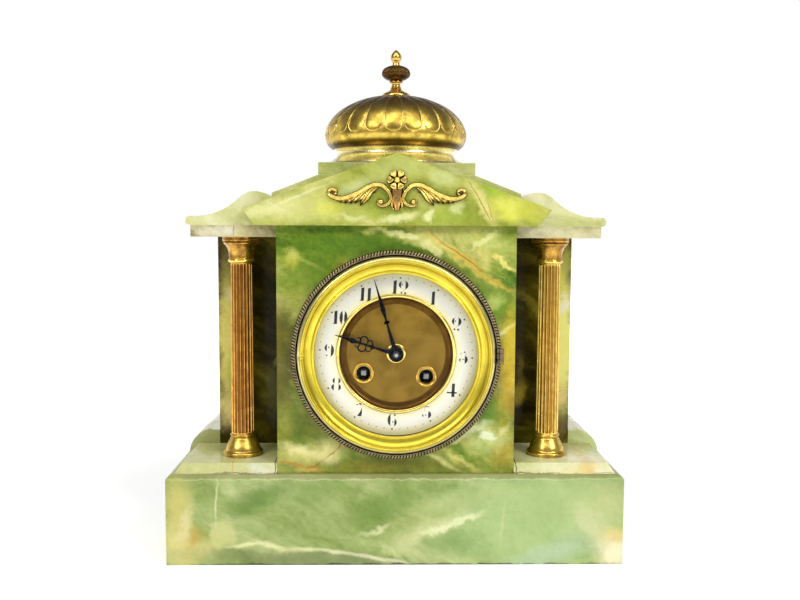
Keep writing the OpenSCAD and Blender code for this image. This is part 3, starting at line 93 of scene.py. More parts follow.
class Graph:
    """A node tree, built one call at a time."""

    def __init__(self, tree):
        self.tree = tree
        tree.nodes.clear()

    def node(self, kind, inputs=(), **settings):
        """A shader node with its settings, and its inputs by name or number."""
        n = self.tree.nodes.new(kind)
        for key, value in settings.items():
            setattr(n, key, value)
        for key, value in dict(inputs).items():
            self.put(n.inputs[key], value)
        return n

    def put(self, socket, value):
        """Links an output to a socket, or sets its value."""
        if isinstance(value, bpy.types.NodeSocket):
            self.tree.links.new(value, socket)
        else:
            socket.default_value = value

    def vec(self, op, a, b):
        return self.node("ShaderNodeVectorMath", {0: a, 1: b}, operation=op).outputs[0]

    def scaled(self, p, k):
        return self.node("ShaderNodeVectorMath", {0: p, "Scale": k}, operation="SCALE").outputs[0]

    def length(self, p):
        return self.node("ShaderNodeVectorMath", {0: p}, operation="LENGTH").outputs["Value"]

    def part(self, p, axis):
        return self.node("ShaderNodeSeparateXYZ", {0: p}).outputs[axis]

    def point(self):
        """The surface point in millimetres, in the object's own frame."""
        return self.scaled(self.node("ShaderNodeTexCoord").outputs["Object"], 1000.0)

    def dial_radius(self, p):
        """Distance of a point from the dial's axis."""
        across = self.vec("SUBTRACT", p, (0.0, 0.0, DIAL_Z))
        return self.length(self.vec("MULTIPLY", across, (1.0, 0.0, 1.0)))

    def math(self, op, *values):
        return self.node("ShaderNodeMath", dict(enumerate(values)), operation=op).outputs[0]

    def times(self, a, b):
        return self.math("MULTIPLY", a, b)

    def larger(self, a, b):
        return self.math("MAXIMUM", a, b)

    def away(self, v, middle):
        """How far a value lies from middle."""
        return self.math("ABSOLUTE", self.math("SUBTRACT", v, middle))

    def hypot(self, x, y):
        return self.math("SQRT", self.math("MULTIPLY_ADD", x, x, self.times(y, y)))

    def mapped(self, p, loc=(0.0, 0.0, 0.0), rot=(0.0, 0.0, 0.0), scale=(1.0, 1.0, 1.0)):
        inputs = {"Vector": p, "Location": loc, "Rotation": rot, "Scale": scale}
        return self.node("ShaderNodeMapping", inputs, vector_type="TEXTURE").outputs[0]

    def noise(self, p, size, detail, rough, seed, lump=0.0):
        """Noise whose lumps are about size millimetres across."""
        inputs = {"Vector": p, "W": seed, "Scale": 1.0 / size, "Detail": detail, "Roughness": rough,
                  "Distortion": lump}
        return self.node("ShaderNodeTexNoise", inputs, noise_dimensions="4D").outputs["Fac"]

    def ramp(self, fac, stops):
        n = self.node("ShaderNodeValToRGB", {0: fac})
        while len(n.color_ramp.elements) < len(stops):
            n.color_ramp.elements.new(0.5)
        for e, (pos, colour) in zip(n.color_ramp.elements, stops):
            e.position = pos
            e.color = (*colour[:3], 1.0)
        return n.outputs[0]

    def step(self, v, lo, hi, out_lo=0.0, out_hi=1.0):
        """A smooth change from out_lo at lo to out_hi at hi."""
        inputs = {"Value": v, "From Min": lo, "From Max": hi, "To Min": out_lo, "To Max": out_hi}
        return self.node("ShaderNodeMapRange", inputs, interpolation_type="SMOOTHSTEP").outputs[0]

    def mix(self, fac, a, b, blend="MIX"):
        inputs = {0: fac, 6: a, 7: b}
        return self.node("ShaderNodeMix", inputs, data_type="RGBA", blend_type=blend).outputs[2]

    def seen(self):
        """Two masks: 1 on rays from the camera or through glass, and 1 on rays off a gloss."""
        path = self.node("ShaderNodeLightPath").outputs
        return self.larger(path["Is Camera Ray"], path["Is Transmission Ray"]), path["Is Glossy Ray"]


MAT = {}


class Surface(Graph):
    """A material with one Principled shader, kept in MAT under its name."""

    def __init__(self, name):
        mat = MAT[name] = bpy.data.materials.new(name)
        mat.use_nodes = True
        super().__init__(mat.node_tree)
        self.bsdf = self.node("ShaderNodeBsdfPrincipled")
        self.node("ShaderNodeOutputMaterial", {0: self.bsdf.outputs[0]})

    def set(self, name, value):
        self.put(self.bsdf.inputs[name], value)

    def bump(self, height, depth, strength):
        """Relief whose full height is depth millimetres."""
        n = self.node("ShaderNodeBump", {"Height": height, "Distance": depth * MM, "Strength": strength})
        self.set("Normal", n.outputs[0])


# Onyx

# A patch with a half width below this is a vein that keeps its line
THIN = 2.0
LAYER_TILT = math.radians(25.0)
RUST = (124, 84, 30)


def onyx(name, seed, tones, patches, veil, veil_colour, crack=0.35, grain=(70.0, 24.0),
         depth=(Y_PEDIMENT, 90.0), gloss=0.2, mottling=0.4):
    """Polished onyx: cloudy tones in slanting layers, milky veils, rusty cracks and placed patches.

    A patch is x, z, half length, half width, slope in degrees, softness, colour, strength, all in
    the plane of the front. It fades towards the back over depth[1] millimetres from depth[0].
    """
    g = Surface(name)
    p = g.point()
    slow = g.noise(p, 60.0, 2.0, 0.5, seed)
    fine = g.noise(p, 11.0, 7.0, 0.68, seed + 3.0)
    shift, shake = (g.vec("SUBTRACT", n.node.outputs["Color"], (0.5, 0.5, 0.5)) for n in (slow, fine))
    warped = g.vec("ADD", g.vec("ADD", p, g.scaled(shift, 46.0)), g.scaled(shake, 9.0))
    layered = g.mapped(warped, rot=(0, LAYER_TILT, 0), scale=(grain[0], grain[0], grain[1]))
    cloud = g.noise(layered, 1.0, 6.0, 0.62, seed + 7.0)
    colour = g.ramp(cloud, [(0.34 + 0.32 * i / (len(tones) - 1), srgb(t)) for i, t in enumerate(tones)])
    # Milky veils along the layers
    veils = g.noise(layered, 0.6, 7.0, 0.68, seed + 11.0, 0.6)
    thin = g.step(g.away(veils, 0.5), 0.014, 0.0)
    milky = g.larger(g.times(thin, 0.7), g.step(veils, 0.56, 0.72))
    milky = g.times(milky, g.step(slow, 0.42, 0.62))
    colour = g.mix(g.times(milky, veil), colour, srgb(veil_colour))
    # Placed patches with feathered edges
    broad_at, thin_at = (g.vec("ADD", p, g.scaled(shake, k)) for k in (17.0, 6.0))
    for x, z, rx, rz, slope, soft, tint, strength in patches:
        at = thin_at if min(rx, rz) < THIN else broad_at
        q = g.mapped(at, (x, depth[0], z), (0, -math.radians(slope), 0), (rx, depth[1], rz))
        fac = g.step(g.length(q), 1.0 + 0.7 * soft, max(0.0, 1.0 - soft))
        colour = g.mix(g.times(fac, strength), colour, srgb(tint))
    # Rusty hair cracks
    lines = g.noise(warped, 55.0, 2.0, 0.5, seed + 17.0)
    hair = g.step(g.away(lines, 0.52), 0.004, 0.0005)
    sparse = g.step(g.noise(p, 45.0, 1.0, 0.5, seed + 19.0), 0.55, 0.66)
    colour = g.mix(g.times(g.times(hair, sparse), crack), colour, srgb(RUST))
    # Crystalline mottling
    mottle = g.noise(p, 4.0, 6.0, 0.7, seed + 23.0)
    both = g.math("ADD", g.times(mottle, 0.5), g.times(fine, 0.5))
    grey = g.ramp(both, [(0.34, (0.12, 0.12, 0.1)), (0.66, (0.86, 0.86, 0.82))])
    g.set("Base Color", g.mix(mottling, colour, grey, "SOFT_LIGHT"))
    g.set("Roughness", g.step(g.noise(p, 14.0, 4.0, 0.6, seed + 29.0), 0.3, 0.75, 0.12, 0.27))
    g.set("IOR", 1.5)
    g.set("Specular IOR Level", gloss)
    g.bump(mottle, 0.02, 0.2)


GREEN_TONES = [(54, 84, 12), (88, 118, 26), (114, 136, 40), (144, 154, 62), (184, 180, 104)]
JADE_TONES = [(100, 124, 54), (128, 148, 76), (146, 163, 94), (163, 176, 112), (186, 192, 134)]
PALE_TONES = [(170, 174, 104), (188, 188, 124), (202, 202, 144), (214, 211, 164), (226, 222, 184)]
# Pale milky stone made paler still to stand in for the light on the foot blocks' slopes (painted light)
MILKY_LIT_TONES = [(206, 204, 160), (222, 220, 184), (236, 234, 206), (244, 242, 222), (250, 248, 234)]
LINTEL_TONES = [(136, 128, 84), (166, 158, 116), (188, 180, 138), (204, 197, 158), (222, 216, 186)]
SQUARE_TONES = [(124, 138, 66), (148, 158, 84), (170, 174, 102), (186, 188, 120), (200, 200, 140)]
# Olive stone darkened to stand in for the shade on the wings' fronts (painted shade)
SHADED_WING_TONES = [(24, 20, 2), (40, 34, 4), (58, 50, 8), (84, 76, 18), (122, 110, 38)]
OLIVE_TONES = [(64, 80, 18), (92, 106, 32), (118, 128, 50), (148, 150, 74), (186, 180, 112)]
PEDIMENT_TONES = [(118, 132, 42), (142, 150, 57), (165, 169, 76), (184, 184, 99), (206, 204, 136)]

BASE_PATCHES = [
    (100, 30, 66, 40, 0, 0.7, (188, 212, 150), 0.6),
    # deep green drifts
    (-96, 47, 24, 9, 28, 0.8, (90, 125, 44), 0.75),
    (-58, 52, 26, 8, 15, 0.9, (119, 146, 72), 0.5),
    (-8, 42, 30, 10, 24, 0.9, (109, 139, 59), 0.6),
    (40, 15, 22, 9, 12, 0.9, (119, 150, 81), 0.6),
    (-40, 4, 60, 6, -4, 0.7, (117, 135, 85), 0.55),
    # pale right half
    (96, 38, 44, 24, 20, 0.9, (158, 181, 114), 0.6),
    (106, 7, 34, 9, 20, 0.8, (174, 193, 159), 0.75),
    (140, 26, 26, 9, -42, 0.9, (203, 204, 155), 0.75),
    (152, 44, 14, 20, 80, 0.9, (192, 197, 135), 0.7),
    (154, 8, 14, 14, 60, 0.8, (239, 229, 189), 0.95),
    (156, 22, 6, 12, 90, 0.8, (221, 198, 122), 0.7),
    # yellow left end
    (-152, 40, 10, 24, 0, 0.9, (204, 194, 114), 0.85),
    (-150, 14, 14, 16, 30, 0.9, (212, 200, 126), 0.85),
    (-141, 19, 5, 8, -30, 0.9, (190, 158, 70), 0.7),
    (-146, 29, 4, 14, -14, 0.9, (219, 210, 155), 0.7),
    (-133, 12, 16, 7, 34, 0.9, (201, 195, 124), 0.8),
    (-121, 22, 10, 10, 0, 0.3, (202, 202, 134), 0.6),
    (-124.6, 46, 0.8, 17, -2, 0.9, (214, 214, 166), 0.65),
    # the long cream vein
    (-104, 15, 13, 1.5, 9, 0.8, (230, 226, 172), 0.95),
    (-86, 14, 13, 1.9, -18, 0.8, (224, 224, 170), 0.95),
    (-66, 11, 13, 1.7, 0, 0.8, (224, 222, 172), 0.9),
    (-42, 9, 16, 1.5, -8, 0.8, (226, 224, 176), 0.9),
    (-16, 5, 15, 1.6, -10, 0.8, (232, 228, 188), 0.95),
    (2, 2, 10, 1.4, -10, 0.9, (221, 218, 183), 0.85),
    (-92, 13, 30, 4, -6, 0.9, (192, 197, 133), 0.4),
    # feathered wings
    (-14, 24.5, 10, 2.1, 20, 0.9, (220, 222, 172), 0.75),
    (10, 20, 17, 6, 34, 0.9, (204, 208, 152), 0.7),
    (30, 28, 20, 5.5, 20, 0.9, (210, 214, 160), 0.75),
    (34, 27, 16, 2.6, 20, 0.8, (228, 230, 182), 0.8),
    (51, 33, 11, 2.2, 24, 0.9, (220, 224, 174), 0.8),
    (16, 32, 30, 10, 26, 1.0, (182, 189, 122), 0.5),
    (-2, 8, 12, 2.2, -46, 0.9, (201, 206, 148), 0.6),
    (75, 28, 1.2, 16, -6, 0.9, (190, 200, 140), 0.6),
    (62, 50, 30, 4, 6, 1.0, (172, 187, 122), 0.5),
    # grey band under the vein, and painted contact shade along the foot
    (-70, 4, 74, 6, -3, 0.8, (128, 134, 92), 0.6),
    (0, 0.2, 165, 0.9, 0, 0.5, (64, 58, 40), 0.75),
    # worn top bevel, and a painted highlight along its lower edge
    (0, 63.2, 230, 1.7, 0, 0.3, (146, 142, 92), 0.7),
    (0, 61.0, 230, 0.3, 0, 0.6, (206, 210, 166), 0.5),
]

BLOCK_PATCHES = [
    # deep greens above and at the left
    (-50, 205, 36, 22, -20, 0.9, (91, 122, 24), 0.7),
    (-20, 222, 34, 9, -8, 0.9, (86, 120, 32), 0.8),
    (20, 210, 34, 12, -30, 0.9, (80, 114, 26), 0.8),
    (60, 186, 26, 12, -30, 0.9, (88, 126, 29), 0.8),
    (70, 166, 14, 18, -50, 0.9, (123, 149, 43), 0.6),
    (-72, 150, 12, 26, 0, 0.9, (107, 110, 24), 0.7),
    (-74, 112, 10, 18, 0, 0.9, (95, 110, 24), 0.7),
    (62, 104, 22, 12, 20, 0.9, (99, 135, 39), 0.8),
    (10, 70, 40, 5, 0, 0.9, (99, 106, 26), 0.8),
    (-18, 68, 16, 4, 0, 0.9, (154, 135, 32), 0.7),
    # yellow and ochre
    (-72, 214, 6, 6, 0, 0.9, (201, 192, 74), 0.6),
    (-70, 186, 10, 14, 20, 0.9, (136, 149, 40), 0.6),
    (-36, 206, 6, 8, 0, 0.9, (156, 126, 29), 0.6),
    (77, 133, 7, 26, 0, 0.8, (181, 149, 39), 0.85),
    (75, 84, 9, 20, 0, 0.8, (168, 145, 43), 0.8),
    (-78, 92, 6, 12, 0, 0.9, (131, 126, 32), 0.6),
    # cream streaks at the upper right
    (-10, 233, 14, 2.2, -5, 0.8, (211, 208, 118), 0.8),
    (8, 229, 16, 3.4, -14, 0.9, (205, 204, 114), 0.75),
    (28, 226, 14, 3.6, -26, 0.9, (218, 206, 114), 0.85),
    (46, 214, 16, 3.6, -38, 0.9, (213, 192, 90), 0.85),
    (66, 200, 18, 2.6, -30, 0.9, (201, 183, 80), 0.8),
    (44, 217, 24, 0.7, -36, 0.8, (172, 110, 27), 0.75),
    (70, 198, 16, 0.6, -28, 0.8, (181, 126, 40), 0.6),
    (52, 230, 24, 5, -16, 0.9, (195, 198, 109), 0.7),
    (70, 224, 16, 9, -30, 0.9, (181, 189, 102), 0.65),
    (58, 219, 4, 14, 20, 0.9, (211, 204, 112), 0.6),
    # pale patches below
    (66, 88, 14, 8, 14, 0.9, (191, 200, 123), 0.85),
    (56, 97, 12, 3, -20, 0.9, (207, 208, 134), 0.8),
    (76, 96, 5, 2, 40, 0.9, (213, 212, 139), 0.7),
    (44, 74, 17, 2.4, -32, 0.9, (218, 210, 118), 0.85),
    (30, 79, 12, 5, -30, 0.9, (164, 173, 86), 0.6),
    (-62, 76, 22, 9, 10, 0.9, (201, 194, 114), 0.85),
    (-46, 80, 9, 8, 30, 0.9, (211, 204, 134), 0.75),
    (-80, 137, 4, 7, 0, 0.9, (199, 192, 98), 0.8),
    (-76, 131, 8, 1.6, -40, 0.9, (183, 175, 80), 0.7),
    # rusty crack at the lower left
    (-72, 70.5, 11, 1.1, -10, 0.9, (201, 139, 45), 0.85),
    (-58, 68.6, 5, 0.8, 14, 0.9, (175, 98, 24), 0.9),
    (-48, 75.5, 11, 0.7, 38, 0.9, (160, 90, 23), 0.9),
    (-38.5, 85, 3.6, 0.6, 68, 0.9, (144, 82, 21), 0.9),
    (-60, 66.5, 9, 1.6, 0, 0.9, (232, 187, 85), 0.7),
    # crisp milky patches and veins
    (-71.5, 217, 4, 4, 20, 0.9, (196, 198, 112), 0.65),
    (-62, 212, 12, 1.4, -30, 0.9, (168, 178, 82), 0.45),
    (6, 231, 12, 3, -8, 0.4, (226, 226, 158), 0.85),
    (24, 222, 9, 3.6, -34, 0.4, (224, 222, 150), 0.85),
    (60, 227, 12, 2.4, 30, 0.5, (222, 222, 150), 0.8),
    (74, 212, 11, 2.2, -34, 0.5, (226, 212, 120), 0.85),
    (66, 184, 9, 6, 30, 0.6, (186, 198, 104), 0.7),
    (76, 165, 10, 1.5, 38, 0.6, (226, 226, 168), 0.9),
    (54, 95.5, 14, 3.4, 20, 0.7, (214, 220, 168), 0.8),
    (64, 90, 6.5, 2.8, -8, 0.4, (224, 228, 192), 0.9),
    (44, 89, 8, 2.0, 40, 0.5, (206, 212, 140), 0.8),
    (32, 73, 15, 1.8, -29, 0.8, (228, 220, 144), 0.8),
    (-70, 81, 12, 4.5, -14, 0.8, (228, 220, 158), 0.75),
    (-50, 75, 7, 4, -20, 0.9, (222, 214, 150), 0.6),
    (-77.5, 139, 6, 1.5, -38, 0.6, (222, 216, 142), 0.85),
    (-77, 106, 5, 12, 8, 0.7, (150, 152, 62), 0.7),
    # olive left flank, ochre right flank
    (-82, 146, 13, 40, 0, 0.5, (88, 82, 8), 0.9),
    (-62, 98, 10, 16, 40, 0.8, (92, 98, 18), 0.7),
    (80, 150, 7, 30, 0, 0.6, (206, 180, 46), 0.8),
    (82, 112, 4, 10, 10, 0.7, (150, 112, 26), 0.7),
    (-4, 69, 60, 6, 0, 0.8, (112, 112, 26), 0.7),
]

PEDIMENT_PATCHES = [
    (0, 276, 20, 8, 0, 0.9, (189, 194, 115), 0.7),
    (-28, 262, 16, 5, 22, 0.9, (201, 208, 145), 0.6),
    (31, 270, 10, 6, -10, 0.6, (199, 208, 139), 0.7),
    (-47, 250, 10, 7, 0, 0.9, (209, 210, 82), 0.75),
    (-88, 247, 16, 5, 10, 0.9, (213, 214, 156), 0.8),
    (-60, 243, 16, 5, 0, 0.9, (191, 196, 109), 0.6),
    (64, 262, 12, 4.5, -24, 0.9, (150, 178, 51), 0.85),
    (76, 250, 14, 8, -12, 0.9, (220, 220, 96), 0.85),
    (76, 244, 6, 4, 0, 0.9, (226, 222, 92), 0.5),
    (92, 246, 10, 6, -20, 0.9, (183, 186, 60), 0.7),
    (34, 244, 18, 6, 0, 0.9, (154, 174, 64), 0.7),
    (-12, 246, 18, 5, 0, 0.9, (160, 174, 70), 0.6),
    (2, 242.5, 13, 3.6, 8, 0.5, (222, 222, 154), 0.8),
    (22, 244, 5, 2.6, 40, 0.5, (222, 224, 158), 0.8),
    (40, 249, 6, 4, 60, 0.6, (208, 214, 142), 0.75),
    (57.5, 253, 3.4, 19, 30, 0.8, (224, 214, 136), 0.7),
    (56.8, 253.6, 0.4, 19, 30, 0.5, (136, 96, 30), 0.7),
    (64, 246, 0.4, 8, 18, 0.5, (170, 128, 50), 0.7),
    (-76, 250, 26, 10, 8, 0.9, (224, 220, 146), 0.7),
    (-64, 258, 20, 0.9, 22, 0.9, (232, 232, 190), 0.4),
    (-82, 250, 10, 0.8, -30, 0.9, (230, 228, 186), 0.35),
    (-30, 243, 8, 2.4, -10, 0.7, (214, 218, 150), 0.6),
]

PLINTH_PATCHES = [
    (-125, 68, 42, 9, 0, 0.5, (184, 184, 120), 0.7),
    # dark joint lines along the foot and beside the block: dirt with painted shade in the gaps
    (0, 64.4, 170, 0.7, 0, 0.5, (92, 74, 36), 0.75),
    (-84.6, 68, 0.5, 12, 0, 0.5, (70, 54, 22), 0.8),
    (84.6, 68, 0.5, 12, 0, 0.5, (70, 54, 22), 0.8),
    (-114.4, 68, 0.5, 9, 0, 0.9, (206, 158, 78), 0.85),
    (-96, 67, 10, 4, -30, 0.9, (206, 212, 190), 0.6),
    (-140, 66, 12, 6, 0, 0.9, (190, 192, 126), 0.6),
    (134, 67, 6, 4, 30, 0.9, (206, 168, 92), 0.8),
    (128, 66, 14, 3, 10, 0.9, (222, 208, 140), 0.6),
    (104, 69, 16, 3, 6, 0.9, (212, 214, 168), 0.6),
]

LINTEL_PATCHES = [
    (-122, 233, 16, 3.5, 0, 0.6, (226, 222, 204), 0.45),
    (-112, 233, 0.5, 6, 4, 0.6, (128, 92, 48), 0.6),
    (-106, 232.5, 5, 4, 0, 0.7, (206, 194, 134), 0.7),
    # painted shade under the right end of the left lintel
    (-94, 230.5, 9, 2.4, 8, 0.8, (168, 150, 108), 0.7),
    (118, 232, 22, 5, 0, 0.8, (220, 216, 170), 0.5),
    (98, 234, 8, 2, -10, 0.7, (226, 222, 190), 0.5),
]

FOOT_PATCHES = [
    # green front faces; the slopes behind them keep the milky tones, painted light
    (-140, 76, 28, 26, 0, 0.4, (160, 164, 92), 0.9),
    (140, 76, 28, 26, 0, 0.4, (196, 210, 138), 0.9),
    (-146, 84, 9, 2, 40, 0.6, (214, 212, 150), 0.8),
    (146, 72, 10, 2, -30, 0.6, (226, 230, 176), 0.8),
]

WING_PATCHES = [
    # painted light on the outer strips behind the columns
    (-125, 216, 7, 12, 0, 0.6, (120, 106, 60), 0.8),
    (-126, 150, 9, 52, 0, 0.6, (232, 220, 118), 0.95),
    (-125, 186, 4, 5, 20, 0.6, (224, 212, 152), 0.8),
    (-126, 96, 9, 14, 0, 0.7, (238, 218, 140), 0.9),
    (-124, 122, 4, 12, 10, 0.8, (186, 184, 74), 0.7),
    (126, 216, 8, 14, 0, 0.6, (170, 168, 70), 0.8),
    (127, 150, 10, 56, 0, 0.6, (250, 246, 142), 0.95),
    (128, 178, 4, 7, 0, 0.7, (252, 246, 208), 0.9),
    (124, 196, 5, 10, 0, 0.8, (222, 220, 76), 0.8),
    (125, 108, 8, 10, 30, 0.7, (236, 214, 136), 0.85),
    (126, 84, 7, 8, 0, 0.7, (124, 110, 66), 0.8),
    # painted shade on the inner strips, with what shows of their stone
    (-92, 110, 5, 16, 10, 0.8, (92, 96, 34), 0.7),
    (-88, 168, 3, 10, 0, 0.8, (70, 72, 24), 0.6),
    (-88, 136, 3, 8, -30, 0.5, (128, 128, 62), 0.7),
    (92, 108, 6, 12, -30, 0.8, (176, 156, 44), 0.85),
    (96, 130, 3, 12, 0, 0.8, (120, 100, 22), 0.6),
    (90, 200, 4, 14, 0, 0.8, (60, 44, 8), 0.6),
]

onyx("block", 1.0, GREEN_TONES, BLOCK_PATCHES, 0.45, (206, 204, 132), 0.4, (44.0, 18.0), (Y_PANEL, 60.0),
     mottling=0.6)
onyx("base", 14.0, JADE_TONES, BASE_PATCHES, 0.25, (204, 210, 156), 0.15, mottling=0.25)
onyx("pediment", 31.0, PEDIMENT_TONES, PEDIMENT_PATCHES, 0.35, (216, 218, 164), 0.2)
onyx("plinth", 43.0, PALE_TONES, PLINTH_PATCHES, 0.4, (220, 218, 184), 0.3)
# Foot blocks: slopes pale with painted light, front faces green stone
onyx("foot", 57.0, MILKY_LIT_TONES, FOOT_PATCHES, 0.45, (250, 248, 236), 0.2, depth=(Y_WING, 5.0), gloss=0.5)
onyx("pale", 63.0, PALE_TONES, (), 0.5, (232, 228, 200))
onyx("lintel", 71.0, LINTEL_TONES, LINTEL_PATCHES, 0.4, (230, 224, 200), 0.7, (30.0, 12.0))
# Wing fronts: painted shade in the stone's tones and veil, painted light on the outer strips
onyx("wing", 83.0, SHADED_WING_TONES, WING_PATCHES, 0.3, (120, 110, 52), 0.3, depth=(Y_WING, 70.0), gloss=0.08)
# The side slabs' front edges carry the same painted light and shade as the wing fronts
onyx("side", 89.0, OLIVE_TONES, WING_PATCHES, 0.4, (198, 194, 126), 0.3, depth=(Y_WING, 12.0))
onyx("square", 97.0, SQUARE_TONES, (), 0.3, (214, 214, 156), 0.2)


# Metals

def metal(name, seed, light, dark, rough, patina, size, brush=None, spots=0.25, relief=0.02,
          patina_and_painted_light=None, turned=False):
    """Old gilt or brass: uneven tone, brown patina in clouds, small dark spots and handling wear.

    patina_and_painted_light is a function of the tree and the point that says how far the metal turns to a
    colour there, with that colour: patina in hollows, painted shade and painted reflections. turned metal has
    the fine rings of a lathe round the dial's axis.
    """
    g = Surface(name)
    p = g.point()
    cloud = g.noise(p, size, 5.0, 0.62, seed)
    fine = height = g.noise(p, 1.3, 4.0, 0.65, seed + 5.0)
    tone = g.times(g.step(cloud, 0.34, 0.7), patina)
    if brush:
        lines = g.noise(g.mapped(p, scale=brush), 1.0, 3.0, 0.6, seed + 9.0)
    if turned:
        across = g.node("ShaderNodeCombineXYZ", {0: g.dial_radius(p)}).outputs[0]
        lines = g.noise(across, 2.4, 6.0, 0.8, seed + 9.0)
        tone = g.math("MULTIPLY_ADD", g.step(lines, 0.36, 0.64), 0.55, tone)
    if brush or turned:
        height = g.math("MULTIPLY_ADD", fine, 0.4, lines)
    colour = g.mix(tone, srgb(light), srgb(dark))
    # Patina in hollows, and painted shade and painted reflections where a material asks for them
    if patina_and_painted_light:
        where, tint = patina_and_painted_light
        colour = g.mix(where(g, p), colour, srgb(tint))
    speck = g.times(g.step(fine, 0.62, 0.74), spots)
    g.set("Base Color", g.mix(speck, colour, srgb(dark, 0.45)))
    g.set("Metallic", 1.0)
    worn = g.math("MULTIPLY_ADD", cloud, 0.6, g.times(height, 0.4))
    g.set("Roughness", g.step(worn, 0.34, 0.68, *rough))
    g.bump(height, relief, 0.6)


def behind(front, back, most):
    """None in front of depth front, full behind depth back."""
    return lambda g, p: g.step(g.part(p, 1), front, back, 0.0, most)


def outside(lo, hi, most):
    """None within radius lo of the dial, full beyond hi."""
    return lambda g, p: g.step(g.dial_radius(p), lo, hi, 0.0, most)


def dome_grime(g, p):
    """Painted dark reflection towards the top of the dome, and painted shade under its roll."""
    z = g.part(p, 2)
    return g.larger(g.step(z, 311.0, 329.0, 0.0, 0.85), g.step(z, 298.6, 295.4, 0.0, 0.9))


def in_flutes(g, p):
    """Patina with painted shade in the channels of the column shafts, which taper upwards."""
    x = g.math("SUBTRACT", g.math("ABSOLUTE", g.part(p, 0)), COLUMN[0])
    y = g.math("SUBTRACT", g.part(p, 1), COLUMN[1])
    taper = (SHAFT_R[0] - SHAFT_R[1]) / SHAFT_L
    level = g.math("MULTIPLY_ADD", g.part(p, 2), taper, g.hypot(x, y))
    return g.step(level, 8.45, 7.85, 0.0, 0.85)


def rope_grime(g, p):
    """Painted shade in the gap round the door, between the strands of the rope edge and on the hinge."""
    r, y = g.dial_radius(p), g.part(p, 1)
    strand = g.hypot(g.math("SUBTRACT", r, ROPE_R), g.math("ADD", y, ROPE_OUT - Y_PANEL))
    gap = g.larger(g.step(r, 69.6, 69.2, 0.0, 0.95), g.step(strand, 2.08, 1.8, 0.0, 0.95))
    return g.larger(gap, g.step(y, Y_PANEL - 6.6, Y_PANEL - 7.1, 0.0, 0.45))


UMBER = (64, 42, 14)
UPRIGHT_BRUSH = (0.6, 0.6, 14.0)

metal("gilt", 3.0, (246, 214, 112), (150, 104, 34), (0.16, 0.34), 0.5, 9.0)
metal("capital", 5.0, (206, 160, 76), (98, 62, 22), (0.2, 0.38), 0.85, 6.0, spots=0.3)
# Bezel: a paler outer slope beyond a radius of about 66 mm, a painted reflection
metal("bezel", 11.0, (240, 224, 86), (188, 164, 44), (0.24, 0.38), 0.3, 12.0, spots=0.05, relief=0.006,
      patina_and_painted_light=(outside(65.6, 66.3, 0.7), (206, 198, 158)), turned=True)
metal("lip", 13.0, (150, 140, 110), (80, 70, 48), (0.36, 0.5), 0.8, 4.0)
metal("collar", 10.0, (244, 234, 176), (200, 174, 92), (0.2, 0.34), 0.6, 9.0, spots=0.15)
metal("foot_gilt", 4.0, (238, 202, 98), (120, 82, 26), (0.26, 0.42), 0.75, 6.0, spots=0.35, relief=0.04)
# Fillets: painted dark reflection towards the dome's top and painted shade under its roll
metal("fillet", 18.0, (250, 226, 130), (170, 132, 54), (0.22, 0.36), 0.6, 5.0,
      patina_and_painted_light=(dome_grime, (128, 96, 40)))
# Palmette: patina with painted shade on the lower, deeper parts of the relief
metal("palmette", 30.0, (226, 180, 112), (156, 106, 54), (0.22, 0.38), 0.7, 3.0, spots=0.3,
      patina_and_painted_light=(behind(-72.0, -70.9, 0.9), UMBER))
# Sunk cove round the dial centre: bronze darkened to stand in for the shade in it (painted shade)
metal("cove", 14.0, (106, 74, 28), (66, 44, 14), (0.34, 0.5), 0.7, 9.0)
metal("grommet", 16.0, (232, 198, 98), (160, 124, 50), (0.18, 0.32), 0.6, 3.0)
metal("bead", 15.0, (250, 230, 130), (204, 166, 66), (0.16, 0.3), 0.5, 6.0)
# Dome: painted dark reflection towards its top and painted shade under its roll
metal("antique", 17.0, (226, 194, 88), (112, 82, 24), (0.26, 0.4), 0.75, 6.0, spots=0.3, relief=0.05,
      patina_and_painted_light=(dome_grime, (84, 58, 22)))
metal("finial", 19.0, (226, 190, 104), (132, 96, 36), (0.18, 0.34), 0.5, 5.0)
metal("knob", 21.0, (104, 76, 36), (54, 36, 14), (0.34, 0.5), 0.7, 4.0)
# Both shafts: patina with painted shade in the flutes
metal("copper", 23.0, (240, 184, 92), (164, 100, 38), (0.2, 0.38), 0.6, 5.0, UPRIGHT_BRUSH, 0.3,
      patina_and_painted_light=(in_flutes, (94, 50, 12)))
metal("yellow", 25.0, (252, 222, 118), (188, 136, 52), (0.2, 0.38), 0.6, 5.0, UPRIGHT_BRUSH, 0.3,
      patina_and_painted_light=(in_flutes, (136, 92, 28)))
# Ornament: patina with painted shade on the lower, deeper parts of the relief
metal("ornament", 29.0, (246, 220, 122), (164, 128, 52), (0.2, 0.36), 0.6, 3.5, relief=0.05,
      patina_and_painted_light=(behind(-72.7, -71.3, 0.9), UMBER))
# Painted shade: near black in the gap round the door and between the rope's strands, darker on the hinge
metal("rope", 37.0, (172, 154, 116), (92, 78, 52), (0.3, 0.5), 0.6, 4.0, patina_and_painted_light=(rope_grime, (16, 12, 6)))
metal("bronze", 41.0, (152, 122, 50), (112, 84, 32), (0.40, 0.56), 0.6, 12.0, (30.0, 1.0, 0.7), 0.2)
